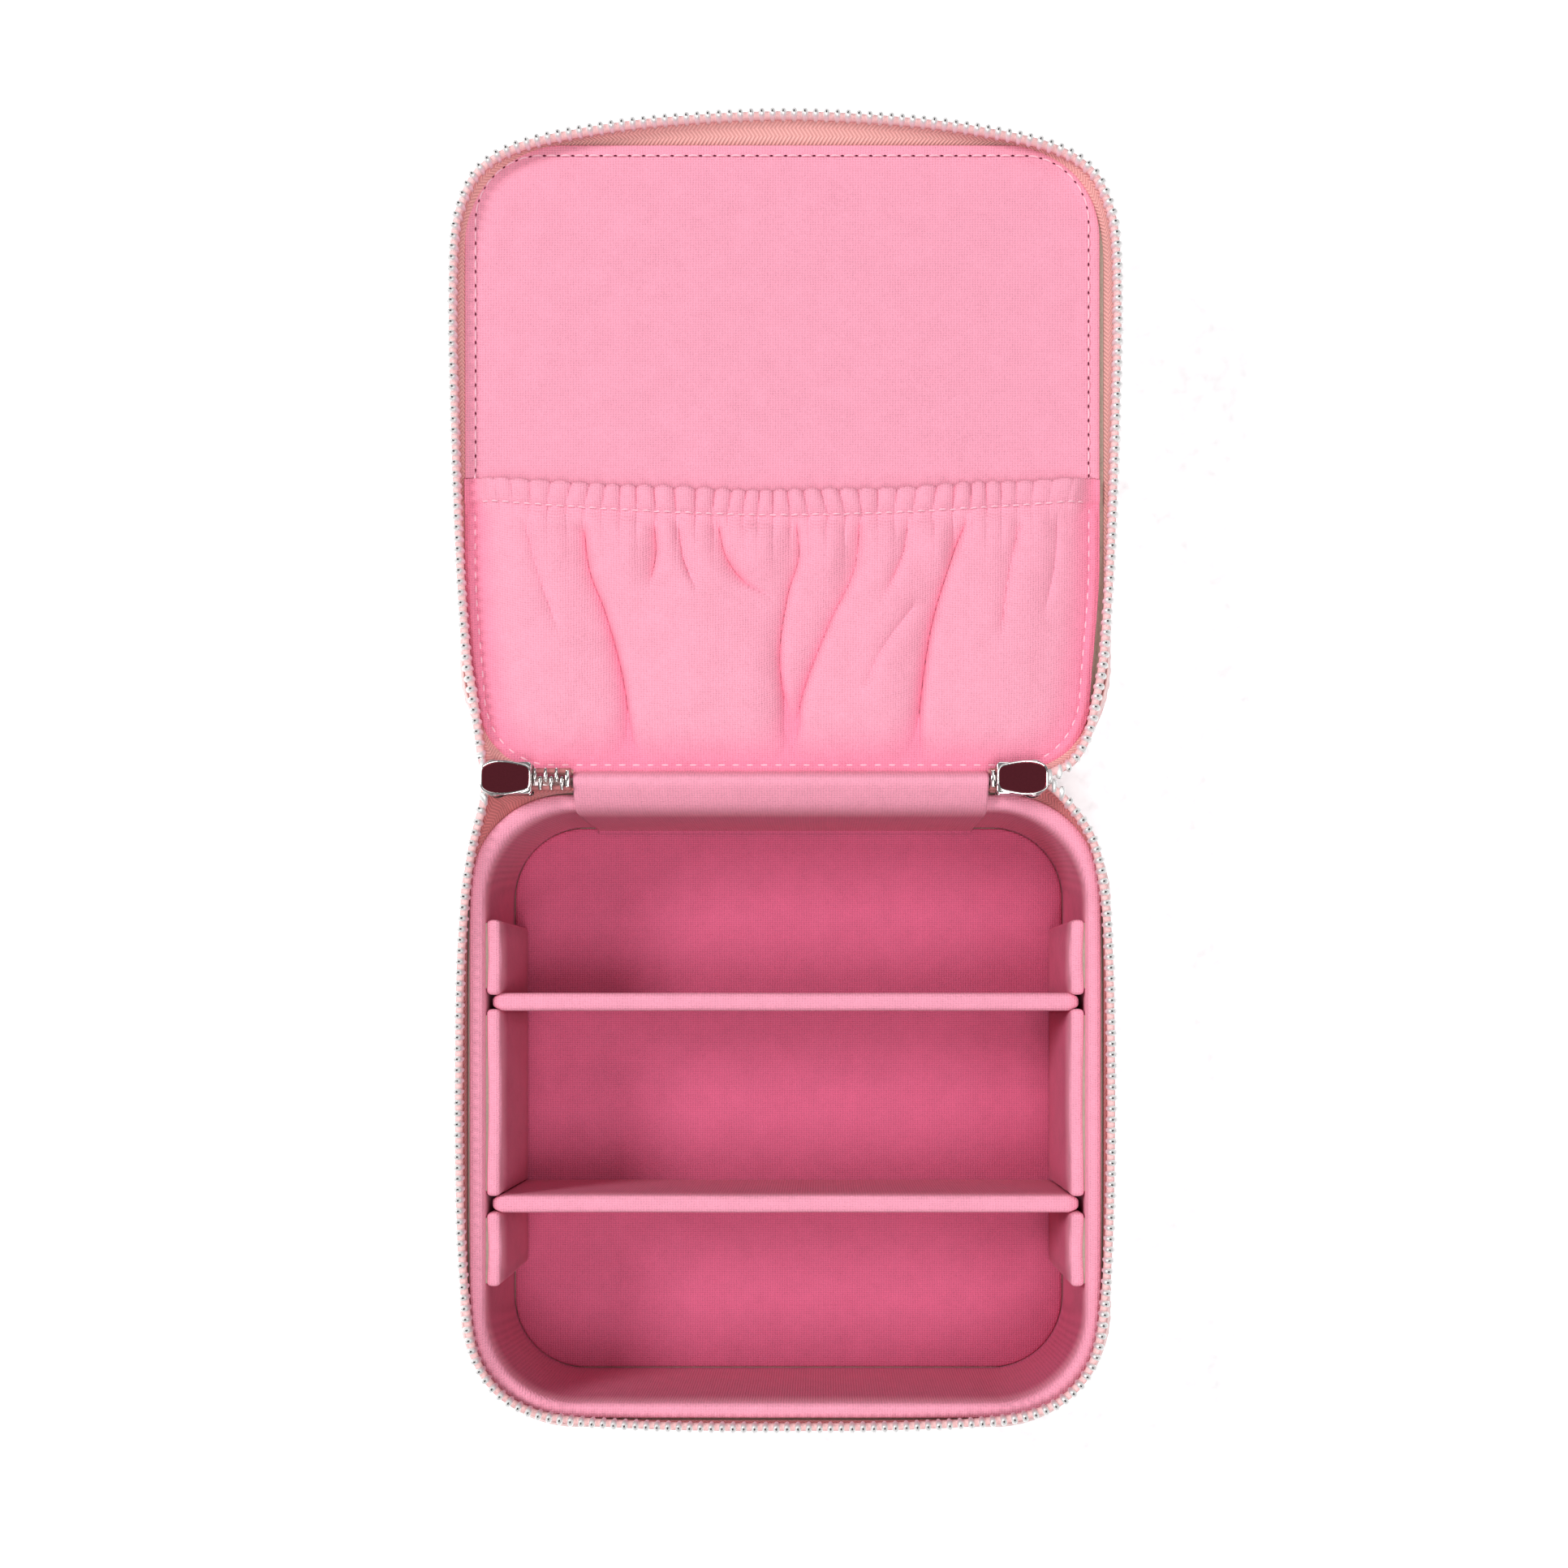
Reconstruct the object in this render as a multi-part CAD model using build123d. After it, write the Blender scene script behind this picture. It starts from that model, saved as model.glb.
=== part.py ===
from build123d import *

import math
import os

# Zip-around travel jewellery case, lying open flat: a deep tray, a shallow lid on a cloth hinge,
# a metal zip round three sides, two lift-out dividers and a gathered pocket in the lid.
# Millimetres. The origin is the centre of the tray's base, +Y points at the hinge and the lid,
# +Z is up. Lid pieces are drawn over the tray and then mirrored through the hinge plane.

# Shell: every layer of the walls is the shell's outline moved inwards by an inset.
SHELL_HALF_X = 75.9
SHELL_HALF_Y = 74.9
SHELL_CORNER = 27.0
COVER_INSET = 0.9
TAPE_INSET = 1.7
BOARD_INSET = 3.3
LIP_INSET = 2.2
LINING_INSET = 5.2

# Hinge: the fold line of the cloth hinge, which is also the centre line of the closed zip.
HINGE_GAP = 0.6
HINGE_Y = SHELL_HALF_Y + HINGE_GAP
HINGE_Z = 48.0
FOLD_CLEARANCE = 0.2
FOLD_TOP = HINGE_Z - FOLD_CLEARANCE
STRIP_THICKNESS = 0.5
STRIP_LEFT = -48.6
STRIP_RIGHT = 46.8
STRIP_FOOT = 30.0
FLAP_THICKNESS = 0.6

# Tray heights.
COVER_THICKNESS = 0.9
BOTTOM_BOARD_TOP = 2.1
FLOOR_CARD_TOP = 2.7
FLOOR_TOP = 3.2
WALL_BOARD_TOP = 41.0
RIM = 42.0
LIP_TOP = 43.2
TRAY_TAPE_FOOT = 34.0
REAR_TAPE_TOP = 42.6
TAPE_TOP = 45.0

# Lid heights with the lid open, so its outer face is the lowest.
LID_OUTSIDE = 32.0
LID_PADDING_TOP = 35.4
LID_BOARD_TOP = 37.0
LID_FILL_TOP = 40.4
PANEL_CARD_TOP = 41.6
PANEL_TOP = 42.4

# Lid pocket.
POCKET_MOUTH_Y = 5.1
POCKET_FOOT_Y = 68.0
POCKET_CAVITY_TOP = 47.2
CASING_DEPTH = 6.0
CASING_BOTTOM = 46.6
ELASTIC_WIDTH = 4.5
ELASTIC_THICKNESS = 0.6
ELASTIC_HALF_X = 70.6

# Dividers and the pads that make their grooves.
DIVIDER_MIDDLE_Y = 0.7
DIVIDER_OFFSET = 23.7
DIVIDER_LENGTH = 137.0
DIVIDER_THICKNESS = 4.2
DIVIDER_BOTTOM = FLOOR_TOP + 0.2
DIVIDER_TOP = 40.4
DIVIDER_COVER = 1.0
GROOVE_HALF = 2.3
PAD_THICKNESS = 3.5
PAD_BACK_X = 70.5
PAD_COVER = 1.7
PAD_BOTTOM = FLOOR_TOP + 0.1
PAD_TOP = 42.0
END_PAD_LENGTH = 17.0

# Zip: the tooth line round the open part, and the closed stretch beside the hinge.
TOOTH_LINE_HALF_X = 75.2
TOOTH_LINE_FRONT = 74.0
TOOTH_LINE_REAR = 75.1
TOOTH_LINE_FRONT_CORNER = 26.0
TOOTH_LINE_REAR_CORNER = 16.0
TAPE_HALF = 0.4
TOOTH_PITCH = 2.5
TOOTH_WIDTH = 1.2
TOOTH_DEPTH = 2.4
OPEN_ZIP_START_X = 70.9
CHAIN_TOOTH_WIDTH = 1.1
CHAIN_HALF_WIDTH = 2.9
CHAIN_OVERLAP = 1.0
CHAIN_TEETH = 7
STOP_LENGTH = 1.1
CHAIN_INNER_LEFT = -49.2
CHAIN_INNER_RIGHT = 47.2

# Sliders, drawn with the mouth towards +X and the chain's middle at the origin.
SLIDER_LEFT_X = -63.7
SLIDER_RIGHT_X = 54.4
SLIDER_HALF_LENGTH = 5.9
PLATE_INSIDE = 1.3
PLATE_OUTSIDE = 2.3
SLIDER_TAIL_HALF = 3.7
SLIDER_MOUTH_HALF = 4.2
PIN_X = 3.0
PIN_Z = -3.7
PIN_RADIUS = 0.5
PIN_LENGTH = 3.2
EAR_INSIDE = 0.9
EAR_THICKNESS = 0.7
PULL_EYE_RADIUS = 1.3
PULL_CLEARANCE = 0.06
PULL_THICKNESS = 1.6
PULL_WIDTH = 5.2
PULL_NECK_END = -8.0
PULL_END = -25.0


def save(node, shape):
    """Write one sub-part."""
    export_step(shape, f"parts/{node}.step")


def block(x, y, z):
    """A box between three pairs of limits."""
    size = (x[1] - x[0], y[1] - y[0], z[1] - z[0])
    middle = ((x[0] + x[1]) / 2, (y[0] + y[1]) / 2, (z[0] + z[1]) / 2)
    return Pos(*middle) * Box(*size)


def rounded(half_x, front, rear, front_corner, rear_corner):
    """A rounded rectangle from y = -front to y = rear."""
    shape = Pos(0, (rear - front) / 2) * Rectangle(2 * half_x, rear + front)
    shape = fillet(shape.vertices().group_by(Axis.Y)[0], front_corner)
    return fillet(shape.vertices().group_by(Axis.Y)[-1], rear_corner)


def outline(inset):
    """The shell's outline, moved inwards."""
    corner = SHELL_CORNER - inset
    half_y = SHELL_HALF_Y - inset
    return rounded(SHELL_HALF_X - inset, half_y, half_y, corner, corner)


def slab(inset, bottom, top):
    """A plate that fills the outline."""
    return Pos(0, 0, bottom) * extrude(outline(inset), top - bottom)


def ring(outer_inset, inner_inset, bottom, top):
    """A wall that follows the outline."""
    return slab(outer_inset, bottom, top) - slab(inner_inset, bottom, top)


def opened(shape):
    """Mirror a piece drawn over the tray to its place in the open lid."""
    return mirror(shape, about=Plane.XZ.offset(-HINGE_Y))


def extruded_along_x(points, left, right):
    """A strip with the given (y, z) section between two x limits."""
    section = make_face(Polyline(*[(left, y, z) for y, z in points], close=True))
    return extrude(section, right - left, dir=(1, 0, 0))


# --- tray shell -----------------------------------------------------------------------------


def tray_bottom_cover():
    """Leather under the base, with its lower edge eased."""
    cover = slab(0, 0, COVER_THICKNESS)
    return fillet(cover.edges().group_by(Axis.Z)[0], 0.5)


def tray_wall_liner():
    """Cloth-covered liner wall with a rolled lip that covers the board's edge."""
    wall = ring(BOARD_INSET, LINING_INSET, BOTTOM_BOARD_TOP, WALL_BOARD_TOP)
    lip = ring(LIP_INSET, LINING_INSET, WALL_BOARD_TOP, LIP_TOP)
    lip = fillet(lip.edges().group_by(Axis.Z)[-1], 1.1)
    return wall + lip


def make_tray_shell():
    save("tray_bottom_cover", tray_bottom_cover())
    save("tray_side_cover", ring(0, COVER_INSET, COVER_THICKNESS, RIM))
    save("tray_wall_foam", ring(COVER_INSET, TAPE_INSET, COVER_THICKNESS, TRAY_TAPE_FOOT))
    save("tray_bottom_board", slab(TAPE_INSET, COVER_THICKNESS, BOTTOM_BOARD_TOP))
    save("tray_wall_board", ring(TAPE_INSET, BOARD_INSET, BOTTOM_BOARD_TOP, WALL_BOARD_TOP))
    save("tray_wall_liner", tray_wall_liner())
    save("tray_floor_card", slab(LINING_INSET, BOTTOM_BOARD_TOP, FLOOR_CARD_TOP))
    save("tray_floor_lining", slab(LINING_INSET, FLOOR_CARD_TOP, FLOOR_TOP))


# --- lid shell ------------------------------------------------------------------------------


def make_lid_shell():
    top_cover = slab(0, LID_OUTSIDE, LID_OUTSIDE + COVER_THICKNESS)
    top_cover = fillet(top_cover.edges().group_by(Axis.Z)[0], 0.5)
    layers = {
        "lid_top_cover": top_cover,
        "lid_side_cover": ring(0, COVER_INSET, LID_OUTSIDE + COVER_THICKNESS, RIM),
        "lid_padding": slab(COVER_INSET, LID_OUTSIDE + COVER_THICKNESS, LID_PADDING_TOP),
        "lid_top_board": slab(TAPE_INSET, LID_PADDING_TOP, LID_BOARD_TOP),
        "lid_wall_board": ring(TAPE_INSET, BOARD_INSET, LID_BOARD_TOP, LID_FILL_TOP),
        "lid_fill_foam": slab(BOARD_INSET, LID_BOARD_TOP, LID_FILL_TOP),
        "lid_panel_card": slab(TAPE_INSET, LID_FILL_TOP, PANEL_CARD_TOP),
        "lid_lining_panel": slab(TAPE_INSET, PANEL_CARD_TOP, PANEL_TOP),
    }
    for node, shape in layers.items():
        save(node, opened(shape))


def elastic():
    """The elastic inside the pocket's casing."""
    start = POCKET_MOUTH_Y + (CASING_DEPTH - ELASTIC_WIDTH) / 2
    bottom = CASING_BOTTOM + (FOLD_TOP - CASING_BOTTOM - ELASTIC_THICKNESS) / 2
    return block(
        (-ELASTIC_HALF_X, ELASTIC_HALF_X),
        (start, start + ELASTIC_WIDTH),
        (bottom, bottom + ELASTIC_THICKNESS),
    )


def make_lid_pocket():
    """Cloth pocket sewn down on three sides, open towards the lid's far edge."""
    wide = (-SHELL_HALF_X, SHELL_HALF_X)
    casing_end = POCKET_MOUTH_Y + CASING_DEPTH
    seam = LINING_INSET - LIP_INSET
    kept = block(wide, (POCKET_MOUTH_Y, POCKET_FOOT_Y), (PANEL_TOP, FOLD_TOP))
    hollow = block(wide, (POCKET_MOUTH_Y, POCKET_FOOT_Y - seam), (PANEL_TOP, POCKET_CAVITY_TOP))
    casing = block(wide, (POCKET_MOUTH_Y, casing_end), (CASING_BOTTOM, FOLD_TOP))
    cavity = slab(LINING_INSET, PANEL_TOP, POCKET_CAVITY_TOP) & hollow
    cloth = slab(LIP_INSET, PANEL_TOP, FOLD_TOP) & kept
    cloth = cloth - (cavity - casing) - elastic()
    save("lid_pocket", opened(cloth))
    save("lid_pocket_elastic", opened(elastic()))


# --- hinge ----------------------------------------------------------------------------------


def hinge_strip():
    """Leather strip glued up the back wall to the fold line."""
    rear = HINGE_Y - HINGE_GAP
    return block((STRIP_LEFT, STRIP_RIGHT), (rear, rear + STRIP_THICKNESS), (STRIP_FOOT, FOLD_TOP))


def tray_flap_points():
    """Section of the cloth flap: fold line, over the lip, down the tray's back wall."""
    lining_y = SHELL_HALF_Y - LINING_INSET
    lip_y = SHELL_HALF_Y - LIP_INSET
    over_lip = LIP_TOP + FLAP_THICKNESS
    fold_y = HINGE_Y - HINGE_GAP - FLAP_THICKNESS / 4
    return [
        (fold_y, FOLD_TOP),
        (fold_y - FLAP_THICKNESS, FOLD_TOP),
        (lip_y - FLAP_THICKNESS / 2, over_lip),
        (lining_y - FLAP_THICKNESS, over_lip),
        (lining_y - FLAP_THICKNESS, FLOOR_TOP + 0.2),
        (lining_y, FLOOR_TOP + 0.2),
        (lining_y, LIP_TOP),
        (lip_y + FLAP_THICKNESS / 2, LIP_TOP),
    ]


def lid_flap_points():
    """Section of the flap's other half: fold line, then down behind the lining panel's edge."""
    fold_y = HINGE_Y - HINGE_GAP - FLAP_THICKNESS / 4
    panel_y = SHELL_HALF_Y - TAPE_INSET
    tuck = PANEL_TOP - 3.0
    return [
        (fold_y, FOLD_TOP),
        (fold_y - FLAP_THICKNESS, FOLD_TOP),
        (panel_y, PANEL_TOP + 0.6),
        (panel_y, tuck),
        (panel_y + FLAP_THICKNESS, tuck),
        (panel_y + FLAP_THICKNESS, PANEL_TOP),
    ]


def make_hinge():
    save("hinge_strip_tray", hinge_strip())
    save("hinge_strip_lid", opened(hinge_strip()))
    save("hinge_flap_tray", extruded_along_x(tray_flap_points(), STRIP_LEFT, STRIP_RIGHT))
    save("hinge_flap_lid", opened(extruded_along_x(lid_flap_points(), STRIP_LEFT, STRIP_RIGHT)))


# --- dividers and pads ----------------------------------------------------------------------


def make_divider(name, y):
    """A board wrapped in padded cloth, open along its foot."""
    half = DIVIDER_LENGTH / 2
    thick = DIVIDER_THICKNESS / 2
    cover = block((-half, half), (y - thick, y + thick), (DIVIDER_BOTTOM, DIVIDER_TOP))
    cover = fillet(cover.edges().group_by(Axis.Z)[-1], 0.9)
    board = block(
        (-half + DIVIDER_COVER, half - DIVIDER_COVER),
        (y - thick + DIVIDER_COVER, y + thick - DIVIDER_COVER),
        (DIVIDER_BOTTOM, DIVIDER_TOP - DIVIDER_COVER),
    )
    save(f"{name}_cover", cover - board)
    save(f"{name}_board", board)


def pad_spans():
    """The y limits of the pads along one wall, by name."""
    rear_start = DIVIDER_MIDDLE_Y + DIVIDER_OFFSET + GROOVE_HALF
    front_end = DIVIDER_MIDDLE_Y - DIVIDER_OFFSET - GROOVE_HALF
    return {
        "rear": (rear_start, rear_start + END_PAD_LENGTH),
        "middle": (front_end + 2 * GROOVE_HALF, rear_start - 2 * GROOVE_HALF),
        "front": (front_end - END_PAD_LENGTH, front_end),
    }


def pad_pieces(span):
    """A pad on the right wall: its wrapped cloth and the card inside."""
    front_x = PAD_BACK_X - PAD_THICKNESS
    cover = block((front_x, PAD_BACK_X), span, (PAD_BOTTOM, PAD_TOP))
    cover = fillet(cover.edges().group_by(Axis.X)[0], 0.9)
    edge = PAD_COVER / 2
    card = block(
        (front_x + PAD_COVER, PAD_BACK_X),
        (span[0] + edge, span[1] - edge),
        (PAD_BOTTOM, PAD_TOP - edge),
    )
    return cover - card, card


def make_pads():
    cards = []
    for place, span in pad_spans().items():
        cover, card = pad_pieces(span)
        save(f"wall_pad_right_{place}", cover)
        save(f"wall_pad_left_{place}", mirror(cover, about=Plane.YZ))
        cards += [card, mirror(card, about=Plane.YZ)]
    save("wall_pad_cards", Compound(children=cards))


# --- zip ------------------------------------------------------------------------------------


def tooth_line(grow):
    """The line of the open zip's teeth, moved outwards."""
    return rounded(
        TOOTH_LINE_HALF_X + grow,
        TOOTH_LINE_FRONT + grow,
        TOOTH_LINE_REAR + grow,
        TOOTH_LINE_FRONT_CORNER + grow,
        TOOTH_LINE_REAR_CORNER + grow,
    )


def leaning_tape():
    """The tape above the rim, leaning from the wall to the teeth."""
    rise = TAPE_TOP - RIM
    outer = loft([outline(COVER_INSET), Pos(0, 0, rise) * tooth_line(TAPE_HALF)], ruled=True)
    inner = loft([outline(TAPE_INSET), Pos(0, 0, rise) * tooth_line(-TAPE_HALF)], ruled=True)
    return Pos(0, 0, RIM) * (outer - inner)


def zipper_tape(foot):
    """Tape sewn between cover and board, cut back at the hinge and below the closed chain."""
    tape = ring(COVER_INSET, TAPE_INSET, foot, RIM) + leaning_tape()
    closed = OPEN_ZIP_START_X - TAPE_HALF
    tape -= block((-closed, closed), (60, 80), (REAR_TAPE_TOP, 50))
    return tape - block((STRIP_LEFT, STRIP_RIGHT), (60, 80), (foot, 50))


def zipper_teeth():
    """One row of teeth on the tape's edge, as separate solids."""
    path = tooth_line(0).face().outer_wire()
    count = round(path.length / TOOTH_PITCH)
    top = FOLD_TOP
    teeth = []
    for index in range(count):
        along = index * path.length / count
        point = path.position_at(along, position_mode=PositionMode.LENGTH)
        if point.Y > 0 and abs(point.X) < OPEN_ZIP_START_X:
            continue
        tangent = path.tangent_at(along, position_mode=PositionMode.LENGTH)
        turn = math.degrees(math.atan2(tangent.Y, tangent.X))
        tooth = Box(TOOTH_WIDTH, TOOTH_DEPTH, top - TAPE_TOP)
        tooth = chamfer(tooth.edges().group_by(Axis.Z)[-1].filter_by(Axis.X), 0.6)
        teeth.append(Pos(point.X, point.Y, (top + TAPE_TOP) / 2) * Rot(0, 0, turn) * tooth)
    return Compound(children=teeth)


def closed_chain(inner_x, direction):
    """Meshed teeth beside the hinge, from the end stop outwards."""
    stop = sorted((inner_x, inner_x + direction * STOP_LENGTH))
    solids = [block(stop, (HINGE_Y - 2.0, HINGE_Y + 2.0), (HINGE_Z - 1.1, HINGE_Z + 1.1))]
    half = CHAIN_TOOTH_WIDTH / 2
    for index in range(CHAIN_TEETH):
        x = inner_x + direction * (STOP_LENGTH + (index + 0.55) * TOOTH_PITCH / 2)
        side = 1 if index % 2 else -1
        ends = sorted((HINGE_Y + side * CHAIN_HALF_WIDTH, HINGE_Y - side * CHAIN_OVERLAP))
        tooth = block((x - half, x + half), ends, (HINGE_Z - 1.2, HINGE_Z + 1.2))
        solids.append(tooth)
    return Compound(children=solids)


def make_zip():
    save("tray_zipper_tape", zipper_tape(TRAY_TAPE_FOOT))
    save("lid_zipper_tape", opened(zipper_tape(LID_PADDING_TOP)))
    save("tray_zipper_teeth", zipper_teeth())
    save("lid_zipper_teeth", opened(zipper_teeth()))
    save("closed_chain_left", closed_chain(CHAIN_INNER_LEFT, -1))
    save("closed_chain_right", closed_chain(CHAIN_INNER_RIGHT, 1))


# --- sliders and pulls ----------------------------------------------------------------------


def slider_plate():
    """Outline of a slider's plate: a straight tail and a wide rounded mouth."""
    tail_end = 2.0
    tail = Pos((tail_end - SLIDER_HALF_LENGTH) / 2) * RectangleRounded(
        tail_end + SLIDER_HALF_LENGTH, 2 * SLIDER_TAIL_HALF, 0.8
    )
    lobe_half = 3.3
    lobe = Pos(SLIDER_HALF_LENGTH - lobe_half) * Ellipse(lobe_half, SLIDER_MOUTH_HALF)
    return tail + lobe


def slider_ears():
    """Two ears under the outer plate that hold the pull's pin."""
    ears = Part()
    for side in (-1, 1):
        inner = side * EAR_INSIDE
        limits = sorted((inner, inner + side * EAR_THICKNESS))
        ear = block((PIN_X - 1.2, PIN_X + 1.2), limits, (PIN_Z - 0.8, -PLATE_OUTSIDE))
        ear = fillet(ear.edges().group_by(Axis.Z)[0].filter_by(Axis.Y), 0.7)
        ears += ear
    pin_hole = Pos(PIN_X, 0, PIN_Z) * Rot(90, 0, 0) * Cylinder(PIN_RADIUS, 10)
    return ears - pin_hole


def slider():
    """Two plates joined by a post, with side lips that guide the chain."""
    plate = extrude(slider_plate(), PLATE_OUTSIDE - PLATE_INSIDE)
    plate = fillet(plate.edges().group_by(Axis.Z)[-1], 0.3)
    upper = Pos(0, 0, PLATE_INSIDE) * plate
    lower = mirror(upper, about=Plane.XY)
    post = Pos(4.0) * Box(1.8, 1.6, 2 * PLATE_INSIDE)
    body = upper + lower + post
    for side in (-1, 1):
        for level in (-1, 1):
            across = sorted((side * 3.15, side * SLIDER_TAIL_HALF))
            height = sorted((level * 0.5, level * PLATE_INSIDE))
            body += block((-SLIDER_HALF_LENGTH + 0.4, 0.5), across, height)
    return body + slider_ears()


def pull_pin():
    return Pos(PIN_X, 0, PIN_Z) * Rot(90, 0, 0) * Cylinder(PIN_RADIUS, PIN_LENGTH)


def pull():
    """A flat tab that hangs from the pin, its face towards the walls."""
    tab_length = PULL_NECK_END - PULL_END
    eye = Pos(PIN_X, PIN_Z) * Circle(PULL_EYE_RADIUS)
    neck = Pos(PIN_X, (PIN_Z + PULL_NECK_END) / 2 - 0.5) * Rectangle(2.2, PIN_Z - PULL_NECK_END + 1)
    tab = Pos(PIN_X, (PULL_NECK_END + PULL_END) / 2) * RectangleRounded(PULL_WIDTH, tab_length, 2.2)
    hole = Pos(PIN_X, PIN_Z) * Circle(PIN_RADIUS + PULL_CLEARANCE)
    shape = extrude(eye + neck + tab - hole, PULL_THICKNESS / 2, both=True)
    return Rot(90, 0, 0) * shape


def make_slider_set(side, x, direction):
    """Place a slider, its pin and its pull on the closed chain."""
    place = Pos(x, HINGE_Y, HINGE_Z)
    for node, shape in (("slider", slider()), ("pull_pin", pull_pin()), ("pull", pull())):
        if direction < 0:
            shape = mirror(shape, about=Plane.YZ)
        save(f"{node}_{side}", place * shape)


os.makedirs("parts", exist_ok=True)
make_tray_shell()
make_lid_shell()
make_lid_pocket()
make_hinge()
make_divider("divider_rear", DIVIDER_MIDDLE_Y + DIVIDER_OFFSET)
make_divider("divider_front", DIVIDER_MIDDLE_Y - DIVIDER_OFFSET)
make_pads()
make_zip()
make_slider_set("left", SLIDER_LEFT_X, -1)
make_slider_set("right", SLIDER_RIGHT_X, 1)
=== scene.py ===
"""Looks of a zip-around travel jewellery case, lying open flat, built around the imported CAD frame.

Lengths in this script are millimetres and turn into metres in mesh_object(). The origin is the
centre of the tray's base, +Y points at the hinge and the open lid, +Z is up.
"""

import math

import bpy
import numpy as np
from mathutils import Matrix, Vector, noise


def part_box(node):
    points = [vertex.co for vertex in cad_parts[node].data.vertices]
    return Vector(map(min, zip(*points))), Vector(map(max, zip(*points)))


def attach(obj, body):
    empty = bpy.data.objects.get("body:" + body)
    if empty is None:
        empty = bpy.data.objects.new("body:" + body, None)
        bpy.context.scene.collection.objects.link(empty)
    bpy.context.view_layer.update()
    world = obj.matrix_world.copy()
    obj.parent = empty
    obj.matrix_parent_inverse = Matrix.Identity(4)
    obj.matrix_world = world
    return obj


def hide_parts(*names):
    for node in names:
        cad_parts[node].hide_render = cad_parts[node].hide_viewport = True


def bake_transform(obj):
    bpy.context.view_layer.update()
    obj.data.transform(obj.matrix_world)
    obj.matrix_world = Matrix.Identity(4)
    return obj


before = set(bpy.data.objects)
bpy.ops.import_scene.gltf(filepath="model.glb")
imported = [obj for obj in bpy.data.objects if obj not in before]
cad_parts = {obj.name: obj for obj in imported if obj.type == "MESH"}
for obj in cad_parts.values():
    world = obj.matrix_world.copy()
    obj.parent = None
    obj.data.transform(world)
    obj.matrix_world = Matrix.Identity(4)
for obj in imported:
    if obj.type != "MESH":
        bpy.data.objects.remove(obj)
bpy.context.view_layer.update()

MM = 0.001

# Sizes and heights that the CAD model fixes.
HINGE_Y = 75.5
HINGE_Z = 48.0
CENTRE_Y = {"tray": 0.0, "lid": 2 * HINGE_Y}
SHELL_HALF_X = 75.9
SHELL_HALF_Y = 74.9
SHELL_CORNER = 27.0
RIM = 42.0
LID_OUTSIDE = 32.0
STRIP_LEFT = -48.7
STRIP_RIGHT = 46.9
TOOTH_PITCH = 2.5
LOOP_COUNT = 480
STITCH_PITCH = 3.3


def frame_box(node):
    """Lowest and highest corner of a CAD node in millimetres."""
    low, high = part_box(node)
    return np.array(low) / MM, np.array(high) / MM


# --- meshes ---


def smoothstep(value):
    """0 to 1 with gentle ends."""
    value = np.clip(value, 0.0, 1.0)
    return value * value * (3 - 2 * value)


def bump(value, centre, half_width):
    """A smooth hill of height 1 round a centre."""
    return smoothstep(1 - np.abs(value - centre) / half_width)


def mesh_object(name, points, faces, material):
    """A smooth-shaded object from points in millimetres."""
    mesh = bpy.data.meshes.new(name)
    mesh.from_pydata((np.asarray(points, float) * MM).tolist(), [], [list(f) for f in faces])
    mesh.validate()
    mesh.shade_smooth()
    mesh.materials.append(material)
    obj = bpy.data.objects.new(name, mesh)
    bpy.context.scene.collection.objects.link(obj)
    return obj


def apply_modifiers(obj):
    """Replace the object's mesh with its evaluated result."""
    evaluated = obj.evaluated_get(bpy.context.evaluated_depsgraph_get())
    mesh = bpy.data.meshes.new_from_object(evaluated)
    obj.modifiers.clear()
    obj.data = mesh
    mesh.shade_smooth()


def turned_over(obj):
    """Swap the sides of a sheet."""
    for polygon in obj.data.polygons:
        polygon.flip()


def thickened(obj, thickness, offset=-1.0):
    """Give a sheet its thickness, away from its visible side."""
    modifier = obj.modifiers.new("thickness", "SOLIDIFY")
    modifier.thickness = thickness * MM
    modifier.offset = offset
    apply_modifiers(obj)
    return obj


def grid_faces(rows, columns, wrap_rows=False, wrap_columns=False, first=0):
    """Quads between rows and columns of points stored row by row."""
    faces = []
    for row in range(rows if wrap_rows else rows - 1):
        below = first + (row + 1) % rows * columns
        here = first + row * columns
        for column in range(columns if wrap_columns else columns - 1):
            after = (column + 1) % columns
            faces.append((here + column, below + column, below + after, here + after))
    return faces


def row_sheet(name, rows, material):
    """An open sheet through rows of points of equal counts."""
    return mesh_object(name, np.vstack(rows), grid_faces(len(rows), len(rows[0])), material)


def merged(parts):
    """Join (points, faces) pairs into one pair."""
    points, faces, first = [], [], 0
    for part_points, part_faces in parts:
        points.append(np.asarray(part_points, float))
        faces += [tuple(first + corner for corner in face) for face in part_faces]
        first += len(part_points)
    return np.vstack(points), faces


def unit(vectors):
    """The same directions with length 1."""
    return vectors / np.linalg.norm(vectors, axis=1)[:, None]


def directions(line, closed):
    """Which way a line runs at each of its points."""
    if closed:
        return np.roll(line, -1, axis=0) - np.roll(line, 1, axis=0)
    return np.gradient(line, axis=0)


def normals_of(line, closed):
    """Unit vectors to the right of a line's direction, in the XY plane."""
    along = unit(directions(line, closed)[:, :2])
    return np.column_stack([along[:, 1], -along[:, 0]])


def arc_lengths(line):
    """Distance along a line from its start to each of its points."""
    steps = np.linalg.norm(np.diff(line, axis=0), axis=1)
    return np.concatenate([[0], np.cumsum(steps)])


def resampled(line, count, closed=False):
    """The same line with evenly spaced points."""
    line = np.asarray(line, float)
    if closed:
        line = np.vstack([line, line[:1]])
    length = arc_lengths(line)
    wanted = np.linspace(0, length[-1], count, endpoint=not closed)
    return np.column_stack([np.interp(wanted, length, line[:, k]) for k in range(line.shape[1])])


def at_height(line, z):
    """A plan line lifted to a height."""
    return np.column_stack([line, np.broadcast_to(z, len(line))])


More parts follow.
